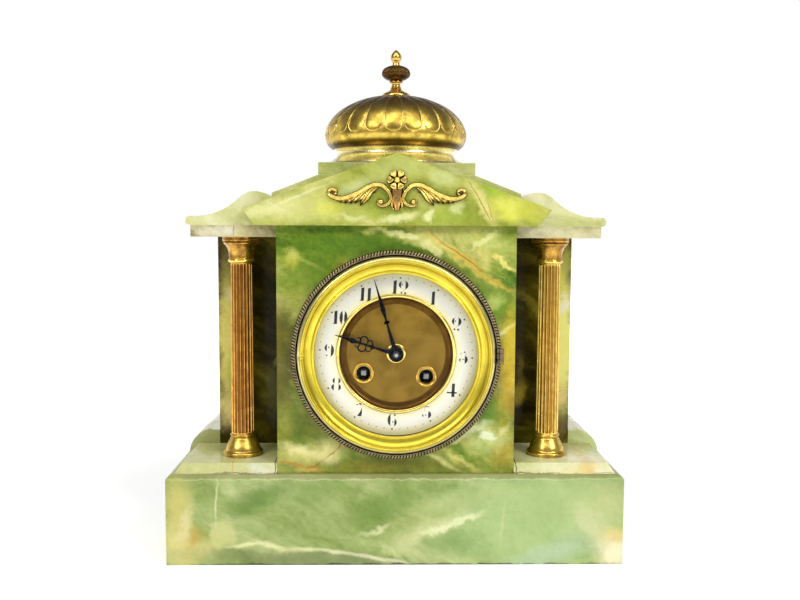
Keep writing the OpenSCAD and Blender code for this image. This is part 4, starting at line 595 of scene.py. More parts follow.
# Painted shade: near black on the arbors deep in the winding holes
metal("winding", 45.0, (150, 150, 146), (96, 94, 88), (0.3, 0.46), 0.5, 3.0,
      patina_and_painted_light=(behind(-58.4, -57.2, 0.97), (10, 9, 8)))
metal("brass", 47.0, (232, 192, 104), (168, 122, 50), (0.22, 0.38), 0.5, 14.0, (0.8, 20.0, 10.0), 0.15)
metal("door", 49.0, (226, 198, 124), (150, 116, 54), (0.2, 0.4), 0.3, 30.0, spots=0.15, relief=0.03,
      turned=True)
metal("steel", 53.0, (188, 188, 190), (124, 122, 120), (0.22, 0.4), 0.5, 8.0, (0.7, 9.0, 6.0), 0.2)
metal("gun", 55.0, (70, 70, 72), (34, 34, 36), (0.18, 0.34), 0.6, 3.0)
metal("blued", 59.0, (26, 26, 32), (12, 12, 15), (0.3, 0.46), 0.6, 4.0, spots=0.2)


# Dial

def enamel():
    g = Surface("enamel")
    p = g.point()
    cloud = g.noise(p, 16.0, 4.0, 0.6, 2.0)
    colour = g.ramp(cloud, [(0.3, srgb((255, 254, 242))), (0.7, srgb((255, 252, 230)))])
    # A yellow tint where the brass rings reflect
    r = g.dial_radius(p)
    tint = g.larger(g.step(r, 48.0, 41.5, 0.0, 0.6), g.step(r, 50.5, 57.0, 0.0, 0.7))
    colour = g.mix(tint, colour, srgb((248, 236, 150)))
    speck = g.step(g.noise(p, 0.8, 3.0, 0.6, 4.0), 0.7, 0.78)
    g.set("Base Color", g.mix(g.times(speck, 0.2), colour, srgb((170, 160, 120))))
    g.set("Roughness", g.step(cloud, 0.3, 0.7, 0.1, 0.2))
    g.bump(cloud, 0.05, 0.3)


def ink(name, size, detail, seed, dark, light, end, rough=None):
    """Fired paint of an uneven tone."""
    g = Surface(name)
    worn = g.noise(g.point(), size, detail, 0.6, seed)
    g.set("Base Color", g.ramp(worn, [(0.35, srgb(dark)), (end, srgb(light))]))
    g.set("Roughness", rough or g.step(worn, 0.3, 0.7, 0.3, 0.5))


def clear_glass():
    g = Surface("glass")
    smear = g.noise(g.point(), 22.0, 4.0, 0.6, 3.0)
    g.set("Base Color", g.ramp(smear, [(0.3, (0.02, 0.03, 0.025)), (0.7, (0.06, 0.07, 0.065))]))
    g.set("Roughness", g.step(smear, 0.4, 0.8, 0.02, 0.08))
    facing_away = g.node("ShaderNodeLayerWeight", {"Blend": 0.25}).outputs["Facing"]
    g.set("Alpha", g.step(facing_away, 0.2, 1.0, 0.025, 0.35))
    g.set("Specular IOR Level", 0.8)


enamel()
ink("ink", 1.2, 4.0, 6.0, (14, 16, 14), (44, 48, 38), 0.7)
ink("faint", 2.0, 3.0, 8.0, (92, 94, 82), (150, 148, 130), 0.65, 0.4)
clear_glass()

# The nodes that each material dresses
LOOK = {
    "block": "dial_panel",
    "base": "base_slabs",
    "pediment": "pediment",
    "plinth": "plinths",
    "foot": "foot_blocks",
    "pale": "ears base_core",
    "lintel": "lintels",
    "wing": "wing_panels",
    "side": "side_slabs rear_panel",
    "square": "dome_plinth roof_block",
    "gilt": "dome_collar left_column_foot right_column_foot",
    "capital": "left_column_capital right_column_capital",
    "antique": "dome",
    "finial": "finial",
    "copper": "left_column_shaft",
    "yellow": "right_column_shaft",
    "winding": "going_arbor strike_arbor",
    "ornament": "pediment_mount",
    "bezel": "bezel_door",
    "rope": "bezel_seat",
    "bronze": "dial_centre",
    "enamel": "chapter_ring",
    "glass": "bezel_glass",
    "door": "rear_ring rear_door",
    "blued": "minute_hand hour_hand going_mainspring strike_mainspring hand_collet",
    "steel": "tie_rods hinge_pins centre_arbor cannon_pinion anchor hammer bell_stand strap_screws",
    "brass": "front_plate back_plate plate_pillars going_barrel strike_barrel minute_wheel hour_wheel "
             "second_wheel third_wheel escape_wheel suspension_cock pendulum strike_pin_wheel "
             "strike_fly bell",
}
for key, names in LOOK.items():
    for name in names.split():
        NODES[name].data.materials.clear()
        NODES[name].data.materials.append(MAT[key])

# Eased edges on the stone and the plain brass, by their width in millimetres
EASED = {
    0.6: "lintels",
    0.5: "base_slabs plinths ears pediment roof_block dome_plinth",
    0.4: "foot_blocks dial_panel rear_panel",
    0.3: "wing_panels side_slabs",
    0.25: "rear_door rear_ring",
}
for width, names in EASED.items():
    for name in names.split():
        weld = NODES[name].modifiers.new("weld", "WELD")
        weld.merge_threshold = 1e-6
        bevel = NODES[name].modifiers.new("eased", "BEVEL")
        bevel.width = width * MM
        bevel.segments = 2
        bevel.limit_method = "ANGLE"
        bevel.angle_limit = math.radians(28)
        bevel.harden_normals = True


# Meshes

def added(name, data):
    """A new object in the scene."""
    ob = bpy.data.objects.new(name, data)
    bpy.context.scene.collection.objects.link(ob)
    return ob


def piece(name, look, verts, faces, instead_of=None, sharp=40.0, body="case", slot="gilt"):
    """A mesh in the shared frame, given in millimetres, that rides on a body."""
    mesh = bpy.data.meshes.new(name)
    mesh.from_pydata([tuple(c * MM for c in v) for v in verts], [], faces)
    bm = bmesh.new()
    bm.from_mesh(mesh)
    bmesh.ops.remove_doubles(bm, verts=bm.verts, dist=1e-6)
    bmesh.ops.recalc_face_normals(bm, faces=bm.faces)
    bm.to_mesh(mesh)
    bm.free()
    mesh.polygons.foreach_set("use_smooth", [True] * len(mesh.polygons))
    mesh.set_sharp_from_angle(angle=math.radians(sharp))
    mesh.materials.append(MAT[look])
    ob = added(name, mesh)
    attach(ob, body)
    if instead_of:
        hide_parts(instead_of)


def grid(rows, columns, start=0, closed=False, ends=False):
    """Faces between rows of points, each row a ring.

    closed joins the last row to the first, and ends fills the first and the last row.
    """
    faces = []
    for i in range(rows if closed else rows - 1):
        a, b = start + i * columns, start + (i + 1) % rows * columns
        for k in range(columns):
            m = (k + 1) % columns
            faces.append((a + k, a + m, b + m, b + k))
    if ends:
        faces += [tuple(start + i * columns + k for k in range(columns)) for i in (0, rows - 1)]
    return faces


def lathe(profile, steps, place, shape=None, closed=True):
    """Verts and faces of a turned form.

    profile lists radius and height, and place maps (radius, angle, height) to a point.
    shape may change radius and height by the angle and the number of the profile's point.
    """
    verts = []
    for i, (r, h) in enumerate(profile):
        for k in range(steps):
            a = 2 * math.pi * k / steps
            rr, hh = shape(r, h, a, i) if shape else (r, h)
            verts.append(place(rr, a, hh))
    return verts, grid(len(profile), steps, closed=closed)


def turned(name, look, profile, steps, place, shape=None, instead_of=None, sharp=40.0, closed=True, **more):
    """A piece that is turned on a lathe."""
    piece(name, look, *lathe(profile, steps, place, shape, closed), instead_of, sharp, **more)


def upright(x, y, z=0.0):
    """Turned about an upright axis; height from z."""
    return lambda r, a, h: (x + r * math.sin(a), y - r * math.cos(a), z + h)


def facing(y, x=0.0, z=DIAL_Z):
    """Turned about an axis to the front; angle clockwise from twelve, height forwards from y."""
    return lambda r, a, h: (x + r * math.sin(a), y - h, z + r * math.cos(a))


def bezier(a, b, c, d, n):
    """Points on a cubic curve."""
    pts = []
    for i in range(n + 1):
        t = i / n
        s = 1 - t
        pts.append(tuple(s ** 3 * p + 3 * s * s * t * q + 3 * s * t * t * u + t ** 3 * v
                         for p, q, u, v in zip(a, b, c, d)))
    return pts


def arc(cx, cy, r, a0, a1, n):
    """Points on a circle from angle a0 to a1, in degrees."""
    angles = [math.radians(a0 + (a1 - a0) * i / n) for i in range(n + 1)]
    return [(cx + r * math.cos(a), cy + r * math.sin(a)) for a in angles]


def smooth(points, n):
    """A smooth curve through the points, n steps to each."""
    pts = [points[0], *points, points[-1]]
    out = []
    for four in zip(pts, pts[1:], pts[2:], pts[3:]):
        for t in [k / n for k in range(n)]:
            out.append(tuple(0.5 * (2 * b + (c - a) * t + (2 * a - 5 * b + 4 * c - d) * t * t
                                    + (3 * b - a - 3 * c + d) * t ** 3) for a, b, c, d in zip(*four)))
    return out + [tuple(points[-1])]


def tube(verts, faces, path, radius, sides=6):
    """Adds a round wire along path, whose entries are a point and a point further out on its normal."""
    start, n = len(verts), len(path)
    for i, (point, out) in enumerate(path):
        along = (path[min(i + 1, n - 1)][0] - path[max(i - 1, 0)][0]).normalized()
        up = (out - point).normalized()
        across = along.cross(up).normalized()
        for k in range(sides):
            a = 2 * math.pi * k / sides
            verts.append(tuple(point + radius * (math.cos(a) * up + math.sin(a) * across)))
    faces += grid(n, sides, start, ends=True)


# Dome with tongue-shaped petals

PETALS = 23
PITCH = 2 * math.pi / PETALS
PETAL_TURN = math.radians(-2.6)
PETAL_HALF = 6.35
PETAL_RISE = 0.45
PETAL_ROUND = 1.5
# The petals fade out upwards from the one radius to the other
FADE = (22.0, 12.0)
FILLET_R = 0.34
FILLET_TOP = 13.0
DOME_R = 52.6
DOME_RISE = 31.0
DOME_WALL = 2.2
ROLL_R = 10.0
Z_MID = 302.505


def oval(r, rise, a0, a1, n):
    """Points on the dome's meridian from angle a0 to a1, in degrees."""
    angles = [math.radians(a) for a in np.linspace(a0, a1, n)]
    return [(r * math.cos(a), Z_MID + rise * math.sin(a)) for a in angles]


def petal_edge(line, run):
    """Outline of one petal as (sideways, along the meridian) pairs, from the top down and up again."""
    side = []
    for (r, _), s in zip(reversed(line), reversed(run)):
        if s > PETAL_HALF and r > FILLET_TOP:
            side.append((min(PETAL_HALF, 0.5 * PITCH * r - FILLET_R), s))
    end = [(x, PETAL_HALF + y) for x, y in arc(0, 0, PETAL_HALF, 0, -180, 24)]
    return side[::3] + end + [(-x, s) for x, s in reversed(side[::3])]


def dome():
    under = arc(DOME_R - ROLL_R, Z_MID, ROLL_R, -67, 0, 16)[:-1]
    over = oval(DOME_R, DOME_RISE, 0.0, 80.0, 150)
    low, end = len(under), len(under) + len(over)
    run = [0.0]
    for p, q in zip(over, over[1:]):
        run.append(run[-1] + math.dist(p, q))

    def lifted(r, h, lift):
        """A point of the meridian moved out along the surface's normal."""
        nx, nz = r / DOME_R ** 2, (h - Z_MID) / DOME_RISE ** 2
        size = math.hypot(nx, nz)
        return r + lift * nx / size, h + lift * nz / size

    def petals(r, h, a, i):
        """Raised petals with a round lower end."""
        if not low <= i < end:
            return r, h
        s = run[i - low]
        across = ((a - PETAL_TURN) / PITCH + 0.5) % 1.0 - 0.5
        x = abs(across) * PITCH * r
        d = min(PETAL_HALF, 0.5 * PITCH * r) - x
        if s < PETAL_HALF:
            d = min(d, PETAL_HALF - math.hypot(x, PETAL_HALF - s))
        fade = min(1.0, max(0.0, (r - FADE[1]) / (FADE[0] - FADE[1])))
        return lifted(r, h, PETAL_RISE * fade * (1 - math.exp(-max(d, 0.0) / PETAL_ROUND)))

    top = over[-1][1]
    inner = [(ROD_R, top), (ROD_R, top - 3.0), (8.6, top - 1.6)]
    inner += oval(DOME_R - DOME_WALL, DOME_RISE - DOME_WALL, 74.0, 0.0, 20)
    inner += arc(DOME_R - ROLL_R, Z_MID, ROLL_R - 2.0, -10, -60, 6)
    place = upright(0, 0)
    turned("dome_shell", "antique", under + over + inner, PETALS * 34, place, petals, "dome", 50.0)
    # Fillets: a thin round wire along each petal's edge
    edge = petal_edge(over, run)
    verts, faces = [], []
    for k in range(PETALS):
        path = []
        for x, s in edge:
            r, h = (float(np.interp(s, run, column)) for column in zip(*over))
            a = PETAL_TURN + k * PITCH + x / r
            r_out, h_out = lifted(r, h, 1.0)
            path.append((Vector(place(r, a, h)), Vector(place(r_out, a, h_out))))
        tube(verts, faces, path, FILLET_R)
    piece("dome_fillets", "fillet", verts, faces, sharp=60.0)


REEDS = 44


def finial():
    place = upright(0, 0, Z_FINIAL)
    side = [(0.02, 0.0), (10.7, 0.0)]
    side += smooth([(10.7, 0.6), (10.2, 1.6), (8.6, 2.7), (6.2, 3.8), (4.5, 4.9), (3.6, 5.8)], 5)
    side += [(4.2, 6.0), (4.2, 6.6), (3.6, 7.0)]
    side += smooth([(3.4, 7.6), (3.3, 8.8), (3.5, 9.9)], 4)
    side += smooth([(4.5, 10.1), (5.3, 10.7), (4.9, 11.4), (4.4, 11.8)], 4)
    side += smooth([(3.2, 12.4), (3.0, 22.3), (2.7, 23.6), (2.6, 25.0), (3.1, 26.1)], 4)
    side += smooth([(3.4, 26.4), (4.05, 28.4), (3.7, 30.6), (2.3, 32.6), (0.9, 33.9), (0.05, 34.5)], 6)
    turned("finial_turned", "finial", side, 96, place, None, "finial", closed=False)
    knob = [(2.9, 12.0)]
    knob += smooth([(5.4, 12.0), (8.0, 13.2), (9.9, 15.0), (10.5, 17.0), (9.9, 19.2), (8.2, 21.0),
                    (5.6, 22.3)], 6)
    knob += [(3.4, 22.9), (2.9, 22.9)]

    def reeds(r, h, a, i):
        """Reeds that run out at the top and bottom of the knob."""
        share = max(0.0, math.sin(math.pi * (h - 12.0) / 10.6)) if r > 4.0 else 0.0
        return r + share * (0.34 * abs(math.cos(0.5 * REEDS * a)) - 0.2), h

    turned("finial_knob", "knob", knob, 352, place, reeds)


def collar():
    side = [(40.0, 0.0), (52.6, 0.0), (52.6, 1.6), (52.2, 2.2), (51.4, 2.5)]
    side += bezier((51.2, 2.6), (47.5, 4.2), (43.6, 6.6), (43.2, 9.6), 24)
    side += bezier((43.3, 9.8), (43.6, 11.2), (45.6, 11.6), (46.45, 12.5), 10) + [(40.0, 12.5)]
    turned("collar_polished", "collar", side, 240, upright(0, 0, Z_COLLAR), None, "dome_collar", 30.0)


def columns():
    foot = [(ROD_R, 0.0), (13.6, 0.0), (14.0, 0.6)] + arc(13.0, 2.0, 1.4, -50, 70, 8)
    foot += [(13.0, 3.6), (12.6, 4.0)] + bezier((12.5, 4.4), (12.0, 7.6), (10.0, 9.6), (9.0, 12.6), 14)
    foot += arc(7.9, 14.6, 1.25, -75, 75, 10) + [(8.2, 16.0), (ROD_R, 16.0)]
    # Heights of the capital and of the ring below it are measured down from the lintel
    cap = [(ROD_R, -15.0), (8.8, -15.0)] + bezier((8.8, -14.8), (8.7, -10.6), (9.6, -7.4), (12.4, -5.0), 14)
    cap += [(12.5, -4.4), (12.0, -4.1), (13.2, -3.7)] + arc(12.4, -2.3, 1.0, -60, 60, 5)
    cap += [(12.9, -1.2), (13.4, -0.9), (13.4, 0.0), (ROD_R, 0.0)]
    neck = [(ROD_R, -18.8), (7.9, -18.8)] + arc(7.7, -17.0, 1.7, -75, 75, 10) + [(8.4, -15.0), (ROD_R, -15.0)]
    y = COLUMN[1]
    for side, x, look in (("left", -COLUMN[0], "copper"), ("right", COLUMN[0], "yellow")):
        node = side + "_column_"
        top = upright(x, y, Z_LINTEL)
        turned(side + "_foot_turned", "foot_gilt", foot, 120, upright(x, y, Z_PLINTH), None, node + "foot")
        turned(side + "_capital_turned", "capital", cap, 120, top, None, node + "capital")
        turned(side + "_capital_ring", "gilt", neck, 120, top)
        low, high = (c.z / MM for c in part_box(node + "shaft"))
        ends = [low + d for d in (0.0, 0.4, 0.55, 0.7, 0.9, 1.1, 1.3, 1.5, 2.0)]
        heights = [*ends, *np.linspace(low + 12.0, high - 12.0, 9), *(low + high - h for h in reversed(ends))]
        slope = (SHAFT_R[1] - SHAFT_R[0]) / (high - low)
        shaft = [(ROD_R, low)] + [(SHAFT_R[0] + slope * (h - low), h) for h in heights] + [(ROD_R, high)]

        def fluted(r, h, a, i):
            """Round-ended channels with narrow fillets between them."""
            across = abs((a * FLUTES / (2 * math.pi)) % 1.0 - 0.5) / FLUTE_HALF
            up = max(0.0, FLUTE_END - min(h - low, high - h))
            d = 1.0 - across * across - up * up
            return r - (FLUTE_DEPTH * math.sqrt(d) if d > 0.0 else 0.0), h

        turned(side + "_shaft_fluted", look, shaft, FLUTES * 16, upright(x, y), fluted, node + "shaft", 50.0)


# Bezel: rope edge, polished ring and hinge

def rope():
    place = facing(Y_PANEL)
    # Ridges round the edge, points along each of them and points round the rope
    ridges, along, across = 212, 8, 18
    around = ridges * along
    strand_r, cut = 1.9, 0.75
    verts = []
    for k in range(around):
        a = 2 * math.pi * k / around
        for m in range(across):
            b = 2 * math.pi * m / across
            twist = abs(math.sin(0.5 * (ridges * a + 2.0 * b)))
            r = strand_r + cut * (twist ** 0.7 - 0.7)
            verts.append(place(ROPE_R + r * math.cos(b), a, ROPE_OUT + r * math.sin(b)))
    piece("rope_edge", "rope", verts, grid(around, across, closed=True), sharp=60.0, slot="bronze")
    lip = [(69.3, 5.4), (69.3, 6.2), (69.45, 6.45), (69.9, 6.45), (70.05, 6.25), (70.05, 5.4)]
    turned("seat_lip", "lip", lip, 360, place, sharp=30.0, slot="bronze")


def bezel():
    ring = [(68.6, 2.3), (68.6, 5.0)] + bezier((68.55, 5.4), (68.4, 7.6), (67.8, 9.0), (66.5, 9.5), 14)
    ring += [(66.1, 9.2), (65.95, 9.3)] + arc(65.3, 9.9, 0.68, -30, 210, 10)
    ring += [(64.5, 9.4), (64.3, 9.6), (64.1, 9.5)]
    ring += bezier((63.9, 9.4), (62.8, 7.2), (61.0, 6.2), (59.2, 5.9), 18)
    ring += [(58.9, 5.7), (58.7, 5.8)] + arc(57.5, 6.1, 1.1, 10, 170, 12)
    ring += [(56.4, 5.6), (56.4, 4.6), (58.0, 4.6), (58.0, 2.3)]
    notch_r, notch_half, notch_floor = 66.0, 1.6, 8.2

    def notched(r, h, a, i):
        """A thumb notch at nine o'clock."""
        d = (a + 1.5 * math.pi) % (2 * math.pi) - math.pi
        return r, h - math.exp(-(d * notch_r / notch_half) ** 4) * max(0.0, h - notch_floor) * 0.5

    turned("bezel_ring", "bezel", ring, 480, facing(Y_PANEL), notched, "bezel_door", 32.0, body="bezel")
    # Knuckle and leaf of the hinge
    knuckle = [(0.86, -2.3), (1.5, -2.3), (1.7, -2.1), (1.7, 2.1), (1.5, 2.3), (0.86, 2.3)]
    verts, faces = lathe(knuckle, 40, upright(HINGE_X, Y_PANEL - HINGE_OUT, DIAL_Z))
    faces += grid(2, 4, len(verts), ends=True)
    corners = [(67.0, 8.4), (67.0, 6.8), (71.4, 6.8), (71.4, 8.4)]
    verts += [(x, Y_PANEL - out, DIAL_Z + up) for up in (-1.6, 1.6) for x, out in corners]
    piece("bezel_hinge_leaf", "rope", verts, faces, body="bezel")


# Dial centre: cove and rim round the sunk disc, rings round the holes

def dial_rings():
    cove = bezier((34.6, 58.42), (37.2, 58.5), (39.3, 59.2), (39.7, 61.6), 14)
    cove += [(39.9, 61.6), (39.9, 58.3), (34.6, 58.3)]
    turned("dial_cove", "cove", cove, 180, facing(0.0), sharp=35.0, slot="bronze")
    rim = [(39.5, 61.0), (39.5, 62.0), (39.85, 62.45), (40.4, 62.65), (41.2, 62.65), (41.75, 62.45),
           (42.05, 62.0), (42.05, 61.65), (41.9, 61.65), (41.9, 61.0)]
    turned("dial_rim", "bead", rim, 180, facing(0.0), sharp=50.0)
    boss = [(3.7, 59.1), (3.7, 59.7), (4.2, 59.95), (6.2, 59.9), (6.8, 59.6), (7.0, 59.1), (7.0, 58.4),
            (3.7, 58.4)]
    turned("hand_boss_ring", "bead", boss, 80, facing(0.0), sharp=50.0)
    ring = [(4.95, 58.9), (4.95, 59.5), (5.1, 59.85), (5.45, 59.95), (5.75, 59.7), (5.95, 59.5),
            (6.15, 59.65), (6.45, 60.0), (6.9, 60.05), (7.2, 59.85), (7.36, 59.4), (7.36, 58.4), (7.1, 58.4)]
    for arbor in ("going", "strike"):
        low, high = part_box(arbor + "_arbor")
        x, z = (low.x + high.x) / 2 / MM, (low.z + high.z) / 2 / MM
        turned(arbor + "_hole_ring", "grommet", ring, 80, facing(0.0, x, z), sharp=50.0)


# Hands

def flat(name, look, outlines, y_back, thickness, turn, **more):
    """Plates from outlines in the dial's plane, x to the right and y up along the hand."""
    verts, faces = [], []
    c, s = math.cos(turn), math.sin(turn)
    for line in outlines:
        faces += grid(2, len(line), len(verts), ends=True)
        verts += [(x * c + y * s, y_back - out, DIAL_Z - x * s + y * c)
                  for out in (0.0, thickness) for x, y in line]
    piece(name, look, verts, faces, sharp=30.0, **more)


def strip(points):
    """Closed outline of a bar along +y from (distance, half width) pairs."""
    line = smooth(points, 6)
    return [(w, d) for d, w in line] + [(-w, d) for d, w in reversed(line)]


def ring_halves(r_out, r_in, n=40):
    """A flat ring as two half outlines."""
    return [arc(0, 0, r_out, a, a + 180, n) + arc(0, 0, r_in, a + 180, a, n) for a in (0, 180)]


def curl(cx, cy, r, w, a0, a1, n=28):
    """Curved strip with tapering ends."""
    sides = [], []
    for i in range(n + 1):
        a = math.radians(a0 + (a1 - a0) * i / n)
        half = w * (0.35 + 0.65 * math.sin(math.pi * i / n))
        for line, size in zip(sides, (r + half, r - half)):
            line.append((cx + size * math.cos(a), cy + size * math.sin(a)))
    return sides[0] + sides[1][::-1]


def hands():
    minute = [strip([(4.2, 1.75), (9.0, 1.4), (16.0, 0.95), (21.0, 0.75), (22.3, 0.75), (22.9, 1.9),
                     (24.1, 1.9), (24.8, 0.8), (27.0, 0.8), (30.0, 1.25), (33.0, 1.7), (37.0, 1.25),
                     (41.0, 0.85), (48.0, 0.5), (54.5, 0.2)])]
    minute += ring_halves(4.5, 2.22)
    minute.append([(x * 2.1, 23.5 + y * 0.75) for x, y in arc(0, 0, 1, 0, 350, 24)])
    flat("minute_hand_blued", "blued", minute, Y_MINUTE_HAND, HAND_THICK, DIAL_TILT + MINUTE_AT,
         instead_of="minute_hand", body="minute_hand", slot="blued_steel")
    hour = [strip([(4.9, 1.5), (10.0, 1.15), (15.0, 0.9), (16.4, 0.9), (17.0, 1.9), (18.2, 1.9), (19.0, 0.9),
                   (23.0, 0.8), (28.5, 0.9), (31.5, 2.0), (34.5, 1.2), (39.0, 0.65), (44.5, 0.2)])]
    hour += ring_halves(5.3, 3.22)
    loop = curl(2.6, 24.2, 2.7, 0.56, -150, 160)
    hook = curl(2.2, 19.6, 1.7, 0.5, -120, 120)
    tip = curl(1.9, 28.0, 1.5, 0.5, -170, 80)
    for side in (-1, 1):
        hour += [[(side * x, y) for x, y in line][::side] for line in (loop, hook, tip)]
    flat("hour_hand_blued", "blued", hour, Y_HOUR_HAND, HAND_THICK, DIAL_TILT + HOUR_AT,
         instead_of="hour_hand", body="hour_hand", slot="blued_steel")
    # Washer in front of the minute hand
    cap = [(1.26, 0.0), (2.9, 0.0), (2.9, 0.5)]
    cap += bezier((2.85, 0.8), (2.7, 1.2), (2.2, 1.5), (1.8, 1.5), 8) + [(1.26, 1.45)]
    front = facing(Y_MINUTE_HAND - HAND_THICK)
    turned("hand_washer", "gun", cap, 64, front, None, "hand_collet", 30.0, body="minute_hand")


# Painted numerals and dots

def crescent(cx, cy, rx, ry, t, side):
    """Half an oval, t thick in its middle and thin at its ends."""
    outer, inner = [], []
    for i in range(17):
        a = math.radians(-90 + 180 * i / 16)
        c, y = math.cos(a), cy + ry * math.sin(a)
        outer.append((cx + side * rx * c, y))
        inner.append((cx + side * (rx - 1.12 * t * max(0.0, c) - 0.06) * c, y))
    return outer + inner[::-1]


def dot(x, y, r):
    return arc(x, y, r, 0, 345, 15)


# Thick strokes and hairlines of each digit, about 8.4 mm high, about its middle
GLYPHS = {
    "0": ([crescent(-0.2, 0, 2.2, 4.3, 1.75, -1), crescent(0.2, 0, 2.2, 4.3, 1.75, 1)], []),
    "1": ([[(-1.525, -4.2), (1.025, -4.2), (1.025, 4.2), (-0.825, 3.7), (-0.825, -3.5)]], []),
    "2": ([crescent(-0.2, 1.5, 2.6, 2.3, 1.25, -1), crescent(0.2, 1.4, 3.0, 2.8, 1.6, 1),
           dot(-0.7, 1.7, 0.42), dot(-0.9, -3.5, 0.55), dot(1.4, -3.6, 0.65)],
          [[(1.6, -0.9), (1.75, -0.9), (-1.6, -3.9), (-1.75, -3.9)]]),
    "3": ([crescent(0.4, -1.3, 2.6, 2.6, 1.7, 1), crescent(-0.3, -1.6, 2.2, 1.2, 0.8, -1),
           dot(0.0, -1.2, 0.42), dot(0.7, 3.4, 0.5), dot(-1.4, 2.3, 0.34)],
          [crescent(0.2, 2.2, 1.6, 1.7, 0.12, 1)]),
    "4": ([[(-0.225, -4.2), (1.625, -4.2), (1.625, 4.2), (-0.225, 4.2)],
           [(-3.2, -2.1), (3.0, -2.1), (3.0, -1.2), (-3.2, -1.2)],
           [(-0.4, -4.2), (1.9, -4.2), (1.9, -3.8), (-0.4, -3.8)]],
          [[(-3.1, -1.3), (-2.95, -1.3), (0.3, 3.9), (0.15, 3.9)]]),
    "5": ([crescent(0.5, -1.0, 2.7, 2.4, 1.7, 1), crescent(-0.6, -1.7, 2.0, 1.0, 0.7, -1),
           dot(-0.2, -1.4, 0.4), [(-1.2, 3.6), (1.9, 3.9), (2.1, 4.2), (-0.6, 4.2)]],
          [[(-1.35, 0.6), (-1.2, 0.6), (-1.0, 3.9), (-1.15, 3.9)]]),
    "6": ([crescent(-0.3, 0.1, 2.7, 4.0, 1.6, -1), crescent(0.5, -1.5, 2.3, 2.4, 1.3, 1),
           dot(1.3, 3.2, 0.62), dot(0.3, -1.2, 0.42)], []),
    "7": ([[(-1.3, -4.2), (1.3, -4.2), (1.6, -2.4), (1.5, 1.4), (0.4, -1.4)],
           [(-1.0, 3.3), (1.4, 2.9), (0.4, 4.2)], dot(-1.7, 3.0, 0.46)],
          [[(1.15, 0.4), (1.3, 0.4), (2.4, 3.9), (2.25, 3.9)]]),
    "8": ([crescent(-0.5, 2.1, 1.9, 1.9, 1.1, -1), crescent(0.5, 2.1, 2.0, 1.9, 1.1, 1),
           crescent(-0.6, -2.0, 2.4, 2.1, 1.4, -1), crescent(0.6, -2.0, 2.4, 2.1, 1.4, 1)], []),
    "9": ([crescent(-0.5, 1.5, 2.3, 2.4, 1.2, -1), crescent(0.3, -0.1, 2.8, 4.0, 1.7, 1),
           dot(-0.2, 1.9, 0.42), dot(-1.3, -3.3, 0.5)], []),
}
# Where the digits of the two-figure hours stand
SPREAD = {"10": (-2.6, 2.3), "11": (-2.05, 2.05), "12": (-3.2, 2.0)}
# Size of the numerals against the glyphs, the radii on which they and the dots stand, the radii of the dots
# at the minutes and the hours, and the thickness of the two inks
NUMERAL = 1.12
HOURS_R = 46.8
MINUTES_R = 53.2
MINUTE_DOT = 0.36
HOUR_DOT = 0.6
BLACK_INK = 0.04
FAINT_INK = 0.03


def numerals():
    bold, pale = [], []
    for hour in range(1, 13):
        a = math.radians(30 * hour)
        cx, cy = HOURS_R * math.sin(a), HOURS_R * math.cos(a)
        for digit, dx in zip(str(hour), SPREAD.get(str(hour), [0.0])):
            for lines, into in zip(GLYPHS[digit], (bold, pale)):
                into.extend([(cx + NUMERAL * (dx + x), cy + NUMERAL * y) for x, y in line] for line in lines)
    for minute in range(60):
        a = math.radians(6 * minute)
        into, r = (pale, MINUTE_DOT) if minute % 5 else (bold, HOUR_DOT)
        into.append(dot(MINUTES_R * math.sin(a), MINUTES_R * math.cos(a), r))
    flat("dial_numerals", "ink", bold, Y_ENAMEL, BLACK_INK, DIAL_TILT, slot="enamel")
    flat("dial_minute_dots", "faint", pale, Y_ENAMEL, FAINT_INK, DIAL_TILT, slot="enamel")


# Ornament on the pediment

def leaf(points, widths, heights, flip=1, crease=0.2, sides=10):
    """A raised leaf or scroll along points (x, z): half-round across, with a crease along the middle.

    Half widths and heights are given at the start, middle and end.
    """
    line = smooth(points, 5)
    last = len(line) - 1

    def at(i, start, middle, end):
        t = 2 * i / last
        return start + (middle - start) * t if t < 1 else middle + (end - middle) * (t - 1)

    verts = []
    for i, (x, z) in enumerate(line):
        (x0, z0), (x1, z1) = line[max(i - 1, 0)], line[min(i + 1, last)]
        size = math.hypot(x1 - x0, z1 - z0) or 1.0
        nx, nz = (z0 - z1) / size, (x1 - x0) / size
        wide, high = at(i, *widths), at(i, *heights)

        def put(across, out):
            return flip * (x + nx * across), Y_PEDIMENT - out, Z_LINTEL_TOP + z + nz * across

        for k in range(sides + 1):
            u = -1 + 2 * k / sides
            rise = high * math.sqrt(max(0.0, 1 - u * u)) * (1 - crease * math.exp(-(u / 0.22) ** 2))
            verts.append(put(wide * u, 0.15 + rise))
        verts += [put(wide, -0.05), put(-wide, -0.05)]
    return verts, grid(len(line), sides + 3, ends=True)


# Lines of the ornament's right half and of its stem, as (x, z) from the middle of the lintels' top
BAND = [(7.6, 25.4), (10.8, 27.4), (15.6, 27.6), (21.0, 25.4), (26.2, 22.2), (31.4, 20.0), (36.5, 18.4),
        (41.0, 18.6), (45.4, 20.6), (46.0, 23.2), (44.2, 24.6), (41.6, 23.8), (41.2, 22.0), (42.6, 21.2)]
LIMB = [(8.7, 25.9), (6.0, 23.4), (4.6, 20.6), (4.4, 18.0), (5.9, 15.0), (9.0, 13.6), (12.0, 13.8),
        (13.2, 15.8), (12.4, 17.4)]
BED = [(15.0, 25.0), (21.0, 21.8), (27.0, 19.0), (33.0, 17.6), (39.0, 17.4)]
